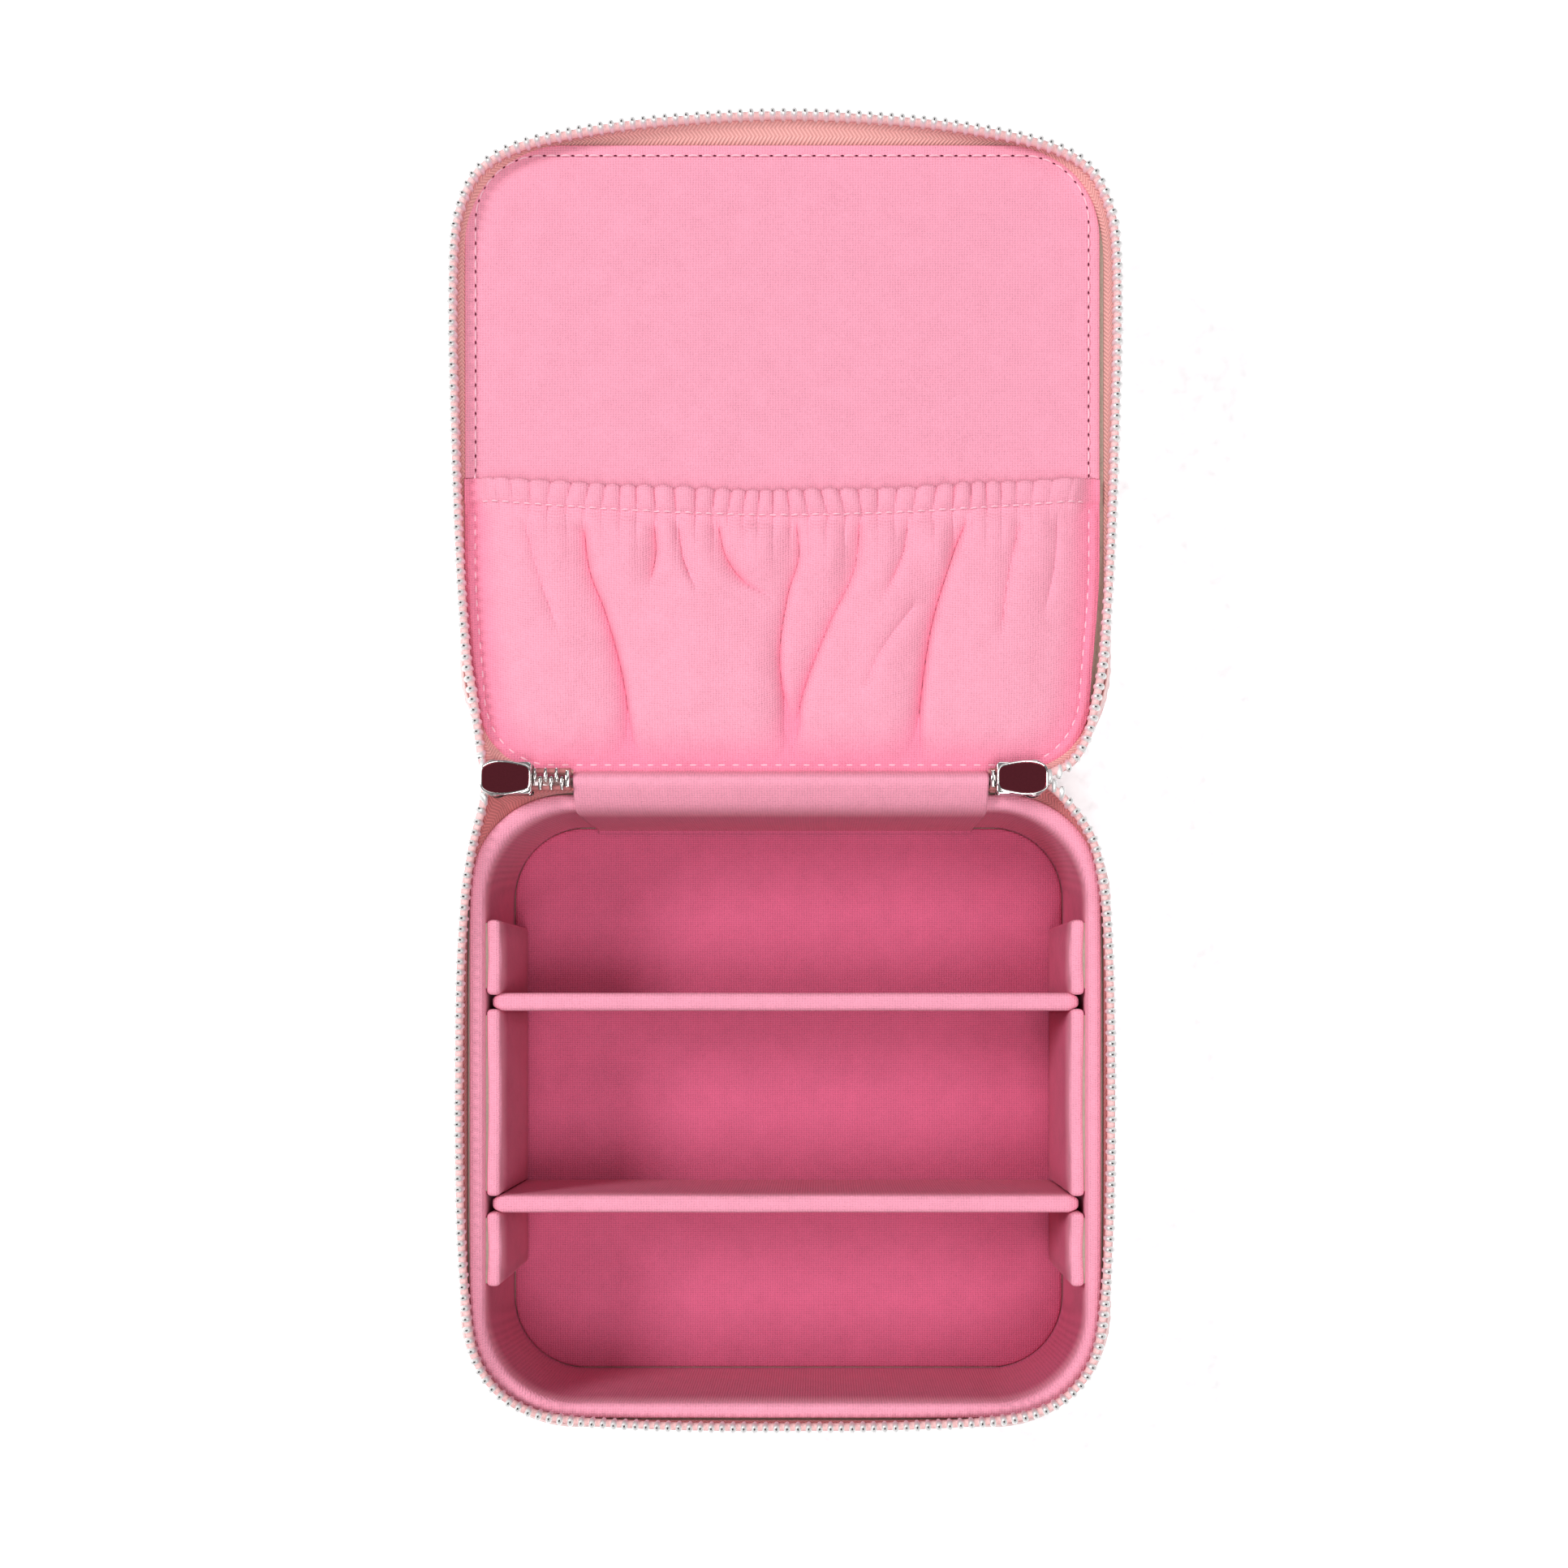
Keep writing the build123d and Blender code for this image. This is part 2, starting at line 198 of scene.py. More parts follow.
def spline(knots, closed=False, steps=24):
    """A smooth Catmull-Rom line through the knots."""
    knots = np.asarray(knots, float)
    if closed:
        knots = np.vstack([knots[-1:], knots, knots[:2]])
    else:
        knots = np.vstack([2 * knots[0] - knots[1], knots, 2 * knots[-1] - knots[-2]])
    line = []
    for before, start, end, after in zip(knots, knots[1:], knots[2:], knots[3:]):
        for t in np.arange(steps) / steps:
            line.append(0.5 * (
                2 * start + (end - before) * t
                + (2 * before - 5 * start + 4 * end - after) * t ** 2
                + (3 * start - before - 3 * end + after) * t ** 3
            ))
    if not closed:
        line.append(knots[-2])
    return np.array(line)


def rounded_loop(half_size, centre, corners, count, steps):
    """Evenly spaced points round a rounded rectangle, anticlockwise from its right side.

    corners holds the corner radius at its far end and at its near end."""
    line = []
    for quadrant, (side_x, side_y) in enumerate(((1, 1), (-1, 1), (-1, -1), (1, -1))):
        corner = corners[0] if side_y > 0 else corners[1]
        for turn in np.radians(np.linspace(90 * quadrant, 90 * quadrant + 90, steps)):
            line.append((
                centre[0] + side_x * (half_size[0] - corner) + corner * math.cos(turn),
                centre[1] + side_y * (half_size[1] - corner) + corner * math.sin(turn),
            ))
    return resampled(line, count, closed=True)


def shell_loop(inset, half, count=LOOP_COUNT, corner=None):
    """The shell's outline moved inwards, for the tray or the lid."""
    corner = SHELL_CORNER - inset if corner is None else corner
    half_size = (SHELL_HALF_X - inset, SHELL_HALF_Y - inset)
    return rounded_loop(half_size, (0.0, CENTRE_Y[half]), (corner, corner), count, 25)


def flipped(points, faces):
    """The same surface, facing the other way."""
    return points, [face[::-1] for face in faces]


def stacked(layers, closed_section=False):
    """One surface through loops of equal counts: each layer is (loop, height)."""
    points = np.vstack([at_height(loop, z) for loop, z in layers])
    count = len(points) // len(layers)
    return flipped(points, grid_faces(len(layers), count, wrap_rows=closed_section, wrap_columns=True))


def capped(points, faces, count, rings=14):
    """Close the last loop of points with rings that shrink to its centre, facing up."""
    ring_start = len(points) - count
    loop = points[ring_start:]
    centre = loop.mean(axis=0)
    shares = 1 - np.arange(1, rings + 1) / (rings + 1)
    points = np.vstack([points, *(centre + (loop - centre) * share for share in shares), centre])
    tip = len(points) - 1
    last = tip - count
    around = grid_faces(rings + 1, count, wrap_columns=True, first=ring_start)
    fan = [(last + k, last + (k + 1) % count, tip) for k in range(count)]
    return points, faces + [(a, d, c, b) for a, b, c, d in around] + fan


def tube(line, radius, sides=8, closed=False):
    """A round tube along a line of points, with flat ends when it is open."""
    line = np.asarray(line, float)
    along = unit(directions(line, closed))
    up = np.where(np.abs(along[:, 2:]) > 0.9, (0.0, 1.0, 0.0), (0.0, 0.0, 1.0))
    side = unit(np.cross(along, up))
    top = np.cross(side, along)
    radii = np.broadcast_to(np.asarray(radius, float), len(line))[:, None, None]
    turns = 2 * np.pi * np.arange(sides) / sides
    ring = np.cos(turns)[:, None] * side[:, None] + np.sin(turns)[:, None] * top[:, None]
    faces = grid_faces(len(line), sides, wrap_rows=closed, wrap_columns=True)
    if not closed:
        last = (len(line) - 1) * sides
        faces += [tuple(range(sides)), tuple(range(last + sides - 1, last - 1, -1))]
    return (line[:, None] + radii * ring).reshape(-1, 3), faces


# --- materials ---


class Shader:
    """A node material under construction. Coordinates are in millimetres."""

    def __init__(self, name, roughness, **settings):
        self.material = bpy.data.materials.new(name)
        self.material.use_nodes = True
        self.nodes = self.material.node_tree.nodes
        self.links = self.material.node_tree.links
        self.surface = self.nodes["Principled BSDF"].inputs
        self.fill(self.surface, Roughness=roughness, **settings)
        coordinates = self.nodes.new("ShaderNodeTexCoord").outputs
        mapping = self.node("Mapping", Vector=coordinates["Object"], Scale=(1 / MM,) * 3)
        self.object_mm = mapping.outputs["Vector"]
        self.uv = coordinates["UV"]

    def put(self, socket, value):
        """Link an output, or set a constant."""
        if isinstance(value, bpy.types.NodeSocket):
            self.links.new(value, socket)
        else:
            socket.default_value = value

    def fill(self, inputs, **values):
        """Link or set inputs by name."""
        for name, value in values.items():
            self.put(inputs[name.replace("_", " ")], value)

    def node(self, kind, **values):
        """A new node with some of its inputs filled."""
        node = self.nodes.new("ShaderNode" + kind)
        self.fill(node.inputs, **values)
        return node

    def math(self, operation, *values):
        """One step of arithmetic on outputs and constants."""
        node = self.node("Math")
        node.operation = operation
        for socket, value in zip(node.inputs, values):
            self.put(socket, value)
        return node.outputs[0]

    def noise(self, size, detail=3.0, roughness=0.55):
        """Noise from 0 to 1 with features about size millimetres across."""
        node = self.node("TexNoise", Vector=self.object_mm, Scale=1 / size)
        self.fill(node.inputs, Detail=detail, Roughness=roughness)
        return node.outputs["Fac"]

    def cells(self, size):
        """Distance to the nearest of scattered points, for grain."""
        node = self.node("TexVoronoi", Vector=self.object_mm, Scale=1 / size)
        return node.outputs["Distance"]

    def threads(self, across, pitch, wobble=1.6):
        """Slightly wavering bands across a direction."""
        reach = self.node("VectorMath")
        reach.operation = "DOT_PRODUCT"
        self.put(reach.inputs[0], self.object_mm)
        self.put(reach.inputs[1], across)
        drift = self.math("MULTIPLY", self.noise(1.4, 2.0), 2 * wobble)
        phase = self.math("MULTIPLY_ADD", reach.outputs["Value"], 2 * math.pi / pitch, drift)
        return self.math("MULTIPLY_ADD", self.math("SINE", phase), 0.5, 0.5)

    def tones(self, value, color, *stops):
        """One colour, darker and lighter: each stop is (position, share of the colour)."""
        node = self.node("ValToRGB", Fac=value)
        elements = node.color_ramp.elements
        while len(elements) < len(stops):
            elements.new(0.5)
        for element, (position, share) in zip(elements, stops):
            element.position = position
            element.color = (*(min(1.0, channel * share) for channel in color), 1.0)
        return node.outputs["Color"]

    def height_share(self, low, high):
        """0 below one height over the tray's base, 1 above another."""
        parts = self.node("SeparateXYZ", Vector=self.object_mm).outputs
        spread = self.node("MapRange", Value=parts["Z"], From_Min=low, From_Max=high)
        spread.interpolation_type = "SMOOTHSTEP"
        return spread.outputs["Result"]

    def mixed(self, share, first, second):
        """The first colour at share 0, the second at share 1."""
        node = self.node("Mix")
        node.data_type = "RGBA"
        self.fill(node.inputs, Factor=share)
        colours = [socket for socket in node.inputs if socket.type == "RGBA"]
        self.put(colours[0], first)
        self.put(colours[1], second)
        return next(socket for socket in node.outputs if socket.type == "RGBA")

    def finished(self, color, relief, depth, wear, smoothest, roughest):
        """The material with a colour, relief of a depth in millimetres, and roughness by wear."""
        bump_node = self.node("Bump", Height=relief, Distance=depth * MM)
        rough = self.math("MULTIPLY_ADD", wear, roughest - smoothest, smoothest)
        self.fill(self.surface, Base_Color=color, Normal=bump_node.outputs["Normal"], Roughness=rough)
        return self.material


def velvet(name, color, painted_shade_colour, low, high):
    """Brushed microfibre: crossing threads under a cloudy nap.

    Its colour is a darker copy, painted shade, below one height and pale above another."""
    shader = Shader(name, 0.9, Sheen_Weight=0.12, Sheen_Roughness=0.4,
                    Sheen_Tint=(1.0, 0.86, 0.88, 1.0), Specular_IOR_Level=0.12)
    weave = shader.math("ADD", shader.threads((1, 0, 0), 0.62), shader.threads((0, 1, 1), 0.54))
    fuzz = shader.noise(0.30, 2.0)
    cloud = shader.noise(5.0, 5.0, 0.65)
    shade = shader.math("MULTIPLY_ADD", cloud, 0.24, shader.math("MULTIPLY", weave, 0.14))
    shade = shader.math("ADD", shade, shader.math("MULTIPLY", fuzz, 0.42))
    pale = shader.tones(shade, color, (0.24, 0.76), (0.46, 1.0), (0.68, 1.14))
    # painted shade: a darker copy of the colour for cloth that lies low in the tray or in the pocket's
    # creases
    painted_shade = shader.tones(shade, painted_shade_colour, (0.24, 0.74), (0.46, 1.0), (0.68, 1.20))
    # blend from the painted shade low down to the pale colour above, by height alone
    colour = shader.mixed(shader.height_share(low, high), painted_shade, pale)
    relief = shader.math("ADD", shader.math("MULTIPLY", weave, 0.5), fuzz)
    return shader.finished(colour, relief, 0.11, cloud, 0.84, 0.97)


def herringbone(name, color):
    """Woven zip tape: slanting ribs that turn back every 1.2 mm across the tape."""
    shader = Shader(name, 0.8, Sheen_Weight=0.25, Specular_IOR_Level=0.25)
    parts = shader.node("SeparateXYZ", Vector=shader.uv).outputs
    slant = shader.math("ADD", parts["X"], shader.math("PINGPONG", parts["Y"], 1.2))
    ribs = shader.math("SINE", shader.math("MULTIPLY", slant, 2 * math.pi / 0.95))
    ribs = shader.math("MULTIPLY_ADD", ribs, 0.5, 0.5)
    shade = shader.math("MULTIPLY_ADD", shader.noise(0.35), 0.35, shader.math("MULTIPLY", ribs, 0.65))
    colour = shader.tones(shade, color, (0.1, 0.72), (0.6, 1.0), (0.95, 1.2))
    return shader.finished(colour, ribs, 0.16, shade, 0.7, 0.9)


def leather(name, color):
    """Fine pebbled leather with soft wear."""
    shader = Shader(name, 0.45, Specular_IOR_Level=0.4, Coat_Weight=0.06)
    grain = shader.math("ADD", shader.cells(0.9), shader.math("MULTIPLY", shader.noise(0.4), 0.5))
    cloud = shader.noise(16.0, 4.0)
    shade = shader.math("MULTIPLY_ADD", cloud, 0.7, shader.math("MULTIPLY", grain, 0.22))
    colour = shader.tones(shade, color, (0.25, 0.84), (0.6, 1.0), (0.9, 1.08))
    return shader.finished(colour, grain, 0.09, shade, 0.36, 0.58)


def metal(name, color, rough, depth=0.01, metallic=1.0):
    """Plated metal with faint wear."""
    shader = Shader(name, rough, Metallic=metallic)
    wear = shader.noise(0.5, 4.0)
    colour = shader.tones(wear, color, (0.2, 0.88), (0.7, 1.0))
    return shader.finished(colour, wear, depth, wear, rough * 0.7, rough * 1.5)


def fibrous(name, color, size, depth):
    """Board, foam, thread and elastic: speckled and slightly rough."""
    shader = Shader(name, 0.9, Specular_IOR_Level=0.2)
    fine = shader.math("MULTIPLY", shader.noise(size * 7), 0.3)
    speck = shader.math("MULTIPLY_ADD", shader.noise(size, 4.0), 0.7, fine)
    colour = shader.tones(speck, color, (0.25, 0.75), (0.5, 1.0), (0.8, 1.12))
    return shader.finished(colour, speck, depth, speck, 0.75, 0.95)


# lining cloth: pale above 41.2 mm, with painted shade as a darker copy below 33 mm over the tray's
# walls, floor, pads and flap
VELVET = velvet("lining_velvet", (0.88, 0.345, 0.465), (0.64, 0.125, 0.235), 33.0, 41.2)
# pocket cloth: a slightly paler copy of the lining's colour, with painted shade as a darker copy below
# 45.4 mm in its creases and near its seams
POCKET_VELVET = velvet("pocket_velvet", (0.92, 0.36, 0.48), (0.89, 0.25, 0.38), 42.6, 45.4)
LID_TAPE = herringbone("lid_zip_tape", (0.99, 0.46, 0.43))
# the tray's tape is a darker copy of the lid's tape: painted shade for the gap between the lip and the
# teeth
TRAY_TAPE_PAINTED_SHADE = herringbone("tray_zip_tape", (0.66, 0.19, 0.19))
SHADED_TAPE = fibrous("chain_bead", (0.46, 0.16, 0.16), 0.5, 0.05)
BEAD = fibrous("tape_bead", (0.93, 0.56, 0.56), 0.5, 0.05)
NICKEL = metal("polished_nickel", (0.80, 0.78, 0.76), 0.10)
TOOTH_METAL = metal("tooth_metal", (0.97, 0.965, 0.955), 0.42, metallic=0.6)
CHAIN_METAL = metal("chain_metal", (0.72, 0.66, 0.65), 0.13)
# dark burgundy mirror metal: its tint is a painted reflection of the pink lining
SLIDER_PAINTED_REFLECTION = metal("slider_mirror_painted_reflection", (0.42, 0.075, 0.105), 0.07, depth=0.004)
LEATHER = leather("shell_leather", (0.93, 0.72, 0.71))
THREAD = fibrous("thread", (0.96, 0.54, 0.64), 0.25, 0.04)
PLAIN_THREAD = fibrous("leather_thread", (0.90, 0.60, 0.60), 0.25, 0.04)
SHADOW_HOLE = fibrous("needle_hole", (0.20, 0.03, 0.06), 0.3, 0.02)
GREYBOARD = fibrous("greyboard", (0.42, 0.36, 0.29), 0.6, 0.05)
FOAM = fibrous("foam", (0.90, 0.86, 0.78), 0.5, 0.12)
ELASTIC = fibrous("elastic", (0.88, 0.86, 0.84), 0.4, 0.08)


# --- zip ---

# Each row of teeth as seen from above: knots on the right half from the hinge end to the middle of
# the far side, mirrored for the left half, and the knots that lead into each slider.
ROWS = {
    "tray": {
        "half": [(74.0, 48), (75.0, 33), (75.4, 12), (75.4, -8), (75.0, -28), (74.0, -44),
                 (72.1, -56.5), (67.8, -64.4), (60.7, -69.6), (50, -72.3), (28, -73.7), (0, -74)],
        "left": [(-68.6, 74.2), (-69.5, 70.3), (-71.0, 65.5), (-72.7, 58)],
        "right": [(71.9, 59.5), (69.0, 65.6), (65.0, 70.6), (60.8, 74.1)],
    },
    "lid": {
        "half": [(73.6, 104), (74.9, 121), (75.8, 140), (76.4, 160), (76.9, 182), (76.5, 200),
                 (74.8, 208.8), (70.6, 216.6), (62, 221.8), (48, 225.2), (28, 227.9), (0, 229.3)],
        "left": [(-68.6, 76.9), (-69.9, 80.5), (-70.9, 86), (-72.1, 95)],
        "right": [(72.0, 94.6), (70.0, 86), (66.3, 79.8), (60.8, 76.9)],
    },
}
BEAD_Z = 45.4
CHAIN_BEAD_Z = 47.6
TWIST_LENGTH = 9.0
BEAD_RADIUS = 0.92
BEAD_COUNT = 620
TAPE_THICKNESS = 0.5
TAPE_FOOT = {"tray": 34.5, "lid": 35.6}
CHAINS = {"left": (-49.2, -66.5), "right": (47.2, 57.5)}
CHAIN_PITCH = TOOTH_PITCH / 2


def tooth_row(half, count):
    """Points along a row's bead with the direction in which its teeth stand."""
    knots = ROWS[half]
    left_half = [(-x, y) for x, y in knots["half"][:-1]]
    line = spline(knots["left"] + left_half + knots["half"][::-1] + knots["right"])
    line = resampled(line, count)
    step = np.linalg.norm(line[1] - line[0])
    to_end = np.minimum(np.arange(count), np.arange(count)[::-1]) * step
    twist = smoothstep(1 - to_end / TWIST_LENGTH)
    height = BEAD_Z + (CHAIN_BEAD_Z - BEAD_Z) * twist
    towards = 1.0 if half == "tray" else -1.0
    stand = np.column_stack([np.zeros(count), 0.95 * towards * twist, 1 - 0.9 * twist])
    return at_height(line, height), unit(stand)


def frames_along(line, stand):
    """Unit vectors along, across and up for each point of a line."""
    along = directions(line, closed=False)
    along = unit(along - (along * stand).sum(1)[:, None] * stand)
    return along, np.cross(along, stand), stand


def squarish(turns, power):
    """x and y round a square with soft corners; a smaller power makes them sharper."""
    x, y = np.cos(turns), np.sin(turns)
    return np.sign(x) * np.abs(x) ** power, np.sign(y) * np.abs(y) ** power


def lofted(sections, power=0.35, sides=12):
    """A closed body through soft-cornered sections of (height, half along, half across)."""
    along, across = squarish(2 * np.pi * (np.arange(sides) + 0.5) / sides, power)
    layers = [
        (np.column_stack([half_along * along, half_across * across]), height)
        for height, half_along, half_across in sections
    ]
    points, faces = stacked(layers)
    last = len(points) - sides
    return points, faces + [tuple(range(sides)), tuple(range(last + sides - 1, last - 1, -1))]


def placed_along(shape, origins, along, across, up):
    """Copies of a local shape at each origin, joined."""
    points, faces = shape
    return merged([
        (origin + points[:, :1] * a + points[:, 1:2] * b + points[:, 2:] * c, faces)
        for origin, a, b, c in zip(origins, along, across, up)
    ])


def tooth_shape():
    """Jaws round the bead, shoulders, and a narrow head with a domed tip."""
    return lofted([
        (-0.75, 0.45, 0.95), (-0.55, 0.60, 1.20), (0.60, 0.72, 1.32), (1.20, 0.76, 1.26),
        (1.60, 0.74, 1.10), (2.00, 0.62, 0.86), (2.26, 0.40, 0.54), (2.36, 0.18, 0.26),
    ], power=0.8)


def add_uv(obj, u, v):
    """Coordinates in millimetres along and across a woven strip, for its weave."""
    layer = obj.data.uv_layers.new(name="weave")
    corners = np.zeros(len(obj.data.loops), np.int32)
    obj.data.loops.foreach_get("vertex_index", corners)
    values = np.column_stack([np.ravel(u)[corners], np.ravel(v)[corners]])
    layer.data.foreach_set("uv", values.ravel().astype(np.float32))


def nearest_on(loop, points):
    """For each point, the closest point of a dense loop."""
    gaps = np.linalg.norm(points[:, None, :2] - loop[None, :, :], axis=2)
    return loop[gaps.argmin(1)]


def woven_strip(name, rows, thickness, material):
    """A strip of tape through rows of points, lowest first, with its weave along it."""
    rows = np.array(rows)
    along = arc_lengths(rows[-1])
    climb = np.linalg.norm(np.diff(rows, axis=0), axis=2).mean(1)
    across = np.concatenate([[0], np.cumsum(climb)])
    obj = row_sheet(name, rows, material)
    add_uv(obj, np.tile(along, len(rows)), np.repeat(across, len(along)))
    return thickened(obj, thickness, offset=0.0)


def along_chains(half, bead):
    """The bead's line carried on at both ends beside the closed stretches, to the hinge strip."""
    y = HINGE_Y + (-2.1 if half == "tray" else 2.1)
    left = np.linspace((STRIP_LEFT, y, CHAIN_BEAD_Z - 0.2), bead[0], 30, endpoint=False)
    right = np.linspace((STRIP_RIGHT, y, CHAIN_BEAD_Z - 0.2), bead[-1], 20, endpoint=False)
    return resampled(np.vstack([left, bead, right[::-1]]), 700)


def smoothed(line, reach=6):
    """Each point moved to the mean of its neighbours."""
    width = 2 * reach + 1
    return np.column_stack([
        np.convolve(np.pad(values, reach, mode="edge"), np.ones(width) / width, mode="valid")
        for values in line.T
    ])


def zipper_tape(half):
    """The tape from between cover and board up to the bead, leaning out to the teeth."""
    bead = along_chains(half, tooth_row(half, BEAD_COUNT)[0])
    wall = smoothed(nearest_on(shell_loop(1.35, half, 1600), bead))
    rows = [at_height(wall, z) for z in (TAPE_FOOT[half], 39.0, 41.6)]
    start = rows[-1]
    outward = normals_of(bead, closed=False)
    for share in (0.2, 0.4, 0.6, 0.8, 1.0):
        level = start + (bead - (0, 0, 0.5) - start) * share
        level[:, :2] -= outward * (0.35 * math.sin(math.pi * share))
        rows.append(level)
    # the darker tray tape is painted shade
    material = TRAY_TAPE_PAINTED_SHADE if half == "tray" else LID_TAPE
    tape = woven_strip(f"{half}_zip_tape", rows, TAPE_THICKNESS, material)
    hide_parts(f"{half}_zipper_tape")
    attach(tape, half)


def open_row(half):
    """Bead and teeth of one open half of the zip."""
    bead, _ = tooth_row(half, BEAD_COUNT)
    cord = mesh_object(f"{half}_zip_bead", *tube(bead, BEAD_RADIUS, sides=12), BEAD)
    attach(cord, half)
    count = round(arc_lengths(bead)[-1] / TOOTH_PITCH)
    fine, stand = tooth_row(half, 2 * count + 1)
    chosen = slice(1 if half == "tray" else 0, None, 2)
    axes = [vectors[chosen] for vectors in frames_along(fine, stand)]
    row = placed_along(tooth_shape(), fine[chosen], *axes)
    teeth = mesh_object(f"{half}_zip_teeth", *row, TOOTH_METAL)
    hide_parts(f"{half}_zipper_teeth")
    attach(teeth, half)


def chain_tooth():
    """A meshing tooth lying across the chain, from its jaws to its domed head."""
    return lofted([
        (-0.8, 0.34, 0.45), (-0.5, 0.50, 0.80), (0.5, 0.55, 0.95), (1.5, 0.55, 1.00),
        (2.0, 0.48, 0.90), (2.3, 0.28, 0.50),
    ], power=0.8)


def closed_chain(side):
    """Meshed teeth, end stop and beads of the short closed stretch beside the hinge."""
    inner, outer = CHAINS[side]
    direction = math.copysign(1, outer - inner)
    parts = []
    for index in range(int(abs(outer - inner) / CHAIN_PITCH) - 1):
        edge = 1 if index % 2 else -1
        x = inner + direction * (1.9 + index * CHAIN_PITCH)
        origin = np.array([x, HINGE_Y + edge * 1.7, HINGE_Z])
        axes = [(1, 0, 0)], [(0, 0, 1)], [(0, -edge, 0)]
        parts.append(placed_along(chain_tooth(), [origin], *axes))
    stop = lofted([(-1.9, 0.4, 0.8), (-1.6, 0.55, 1.05), (1.6, 0.55, 1.05), (1.9, 0.4, 0.8)])
    stop_origin = np.array([inner + direction * 0.6, HINGE_Y, HINGE_Z])
    parts.append(placed_along(stop, [stop_origin], [(1, 0, 0)], [(0, 0, 1)], [(0, 1, 0)]))
    chain = mesh_object(f"chain_teeth_{side}", *merged(parts), CHAIN_METAL)
    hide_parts(f"closed_chain_{side}")
    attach(chain, f"chain_{side}")
    xs = np.linspace(inner, outer, 40)
    for edge, place in ((-1, "tray"), (1, "lid")):
        line = at_height(at_height(xs, HINGE_Y + edge * 2.0), HINGE_Z - 0.5)
        bead = mesh_object(f"chain_bead_{place}_{side}", *tube(line, 0.6, sides=10), SHADED_TAPE)
        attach(bead, f"chain_{side}")


def slider_plate(side):
    """Mirror-bright crown plate of a slider, tinted dark burgundy as a painted reflection of the pink
    lining, waisted, with a raised rim round it.
    """
    low, high = frame_box(f"slider_{side}")
    middle, half = (low + high) / 2, (high - low) / 2
    count = 96
    along, across = squarish(np.linspace(0, 2 * np.pi, count, endpoint=False), 0.45)
    waist = 0.86 + 0.08 * np.cos(3.0 * along * (1 if side == "left" else -1) + 0.6)
    outline = np.column_stack([
        middle[0] + (half[0] - 0.3) * along,
        middle[1] + (half[1] - 0.2) * (across * waist),
    ])
    top = high[2] + 0.02
    raised = capped(*stacked([(outline, top), (outline, top + 0.12)]), count=count)
    plate = mesh_object(f"slider_{side}_mirror_plate", *raised, SLIDER_PAINTED_REFLECTION)
    rim_tube = tube(at_height(outline, top + 0.1), 0.30, closed=True)
    rim = mesh_object(f"slider_{side}_rim", *rim_tube, NICKEL)
    for piece in (plate, rim):
        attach(piece, f"slider_{side}")


# --- leather shell ---


def side_profile(half):
    """(outward, height) of the leather wall: up the outside, over the rim, down inside."""
    low, high = (0.9, RIM) if half == "tray" else (LID_OUTSIDE + 0.9, RIM)
    rise = high - low
    swell = [(0.02, 0.05), (0.15, 0.2), (0.45, 0.32), (0.75, 0.24), (0.93, 0.1)]
    outside = [(out, low + rise * share) for share, out in swell]
    return [(-0.1, low)] + outside + [
        (0.02, high - 0.35), (-0.16, high - 0.08), (-0.42, high + 0.05), (-0.7, high - 0.1),
        (-0.85, high - 0.5), (-0.9, low + rise / 2), (-0.9, low),
    ]


def leather_wall(half):
    """The leather round the sides, turned over the rim."""
    loop = shell_loop(0, half)
    outward = normals_of(loop, closed=True)
    layers = [(loop + out * outward, height) for out, height in side_profile(half)]
    wall = mesh_object(f"{half}_leather_wall", *stacked(layers, closed_section=True), LEATHER)
    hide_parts(f"{half}_side_cover")
    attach(wall, half)


def leather_face(half):
    """The large outer face, with eased edges."""
    bottom = 0.0 if half == "tray" else LID_OUTSIDE
    edge = [(0.0, 0.9), (0.05, 0.6), (0.35, 0.2), (1.0, 0.02), (4.0, 0.0), (9.0, 0.0)]
    layers = [(shell_loop(inset, half), bottom + rise) for inset, rise in edge]
    outside = flipped(*capped(*stacked(layers), count=LOOP_COUNT))
    inside = capped(*stacked(layers[:1]), count=LOOP_COUNT, rings=4)
    face = mesh_object(f"{half}_leather_face", *merged([outside, inside]), LEATHER)
    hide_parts("tray_bottom_cover" if half == "tray" else "lid_top_cover")
    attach(face, half)


def leather_piping(half):
    """A rolled leather cord sewn into the edge between wall and outer face."""
    height = 1.35 if half == "tray" else LID_OUTSIDE + 1.35
    line = at_height(shell_loop(-0.15, half), height)
    piping = mesh_object(f"{half}_piping", *tube(line, 1.05, sides=12, closed=True), LEATHER)
    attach(piping, half)


def stitch_row(name, line, body, pitch, radius, material,
               lift=(0, 0, 1), gap=0.18, closed=False):
    """Separate short threads along a line, each dipping into the cloth at both ends."""
    line = np.asarray(line, float)
    ring = np.vstack([line, line[:1]]) if closed else line
    count = max(1, round(arc_lengths(ring)[-1] / pitch))
    steps = 12
    fine = resampled(line, count * steps + (0 if closed else 1), closed=closed)
    if np.ndim(lift) == 1:
        lift = np.broadcast_to(np.asarray(lift, float), fine.shape)
    else:
        lift = resampled(lift, len(fine))
    rise = radius * np.array([-1.1, 0.0, 0.55, 0.7, 0.55, 0.0, -1.1])
    radii = radius * np.array([0.7, 0.95, 1.0, 1.0, 1.0, 0.95, 0.7])
    share = np.linspace(gap / 2, 1 - gap / 2, len(rise))
    parts = []
    for index in range(count):
        where = (index + share) * steps
        whole = where.astype(int)
        part = (where - whole)[:, None]
        after = (whole + 1) % len(fine)
        thread = fine[whole] * (1 - part) + fine[after] * part
        parts.append(tube(thread + rise[:, None] * lift[whole], radii, sides=6))
    stitches = mesh_object(name, *merged(parts), material)
    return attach(stitches, body)


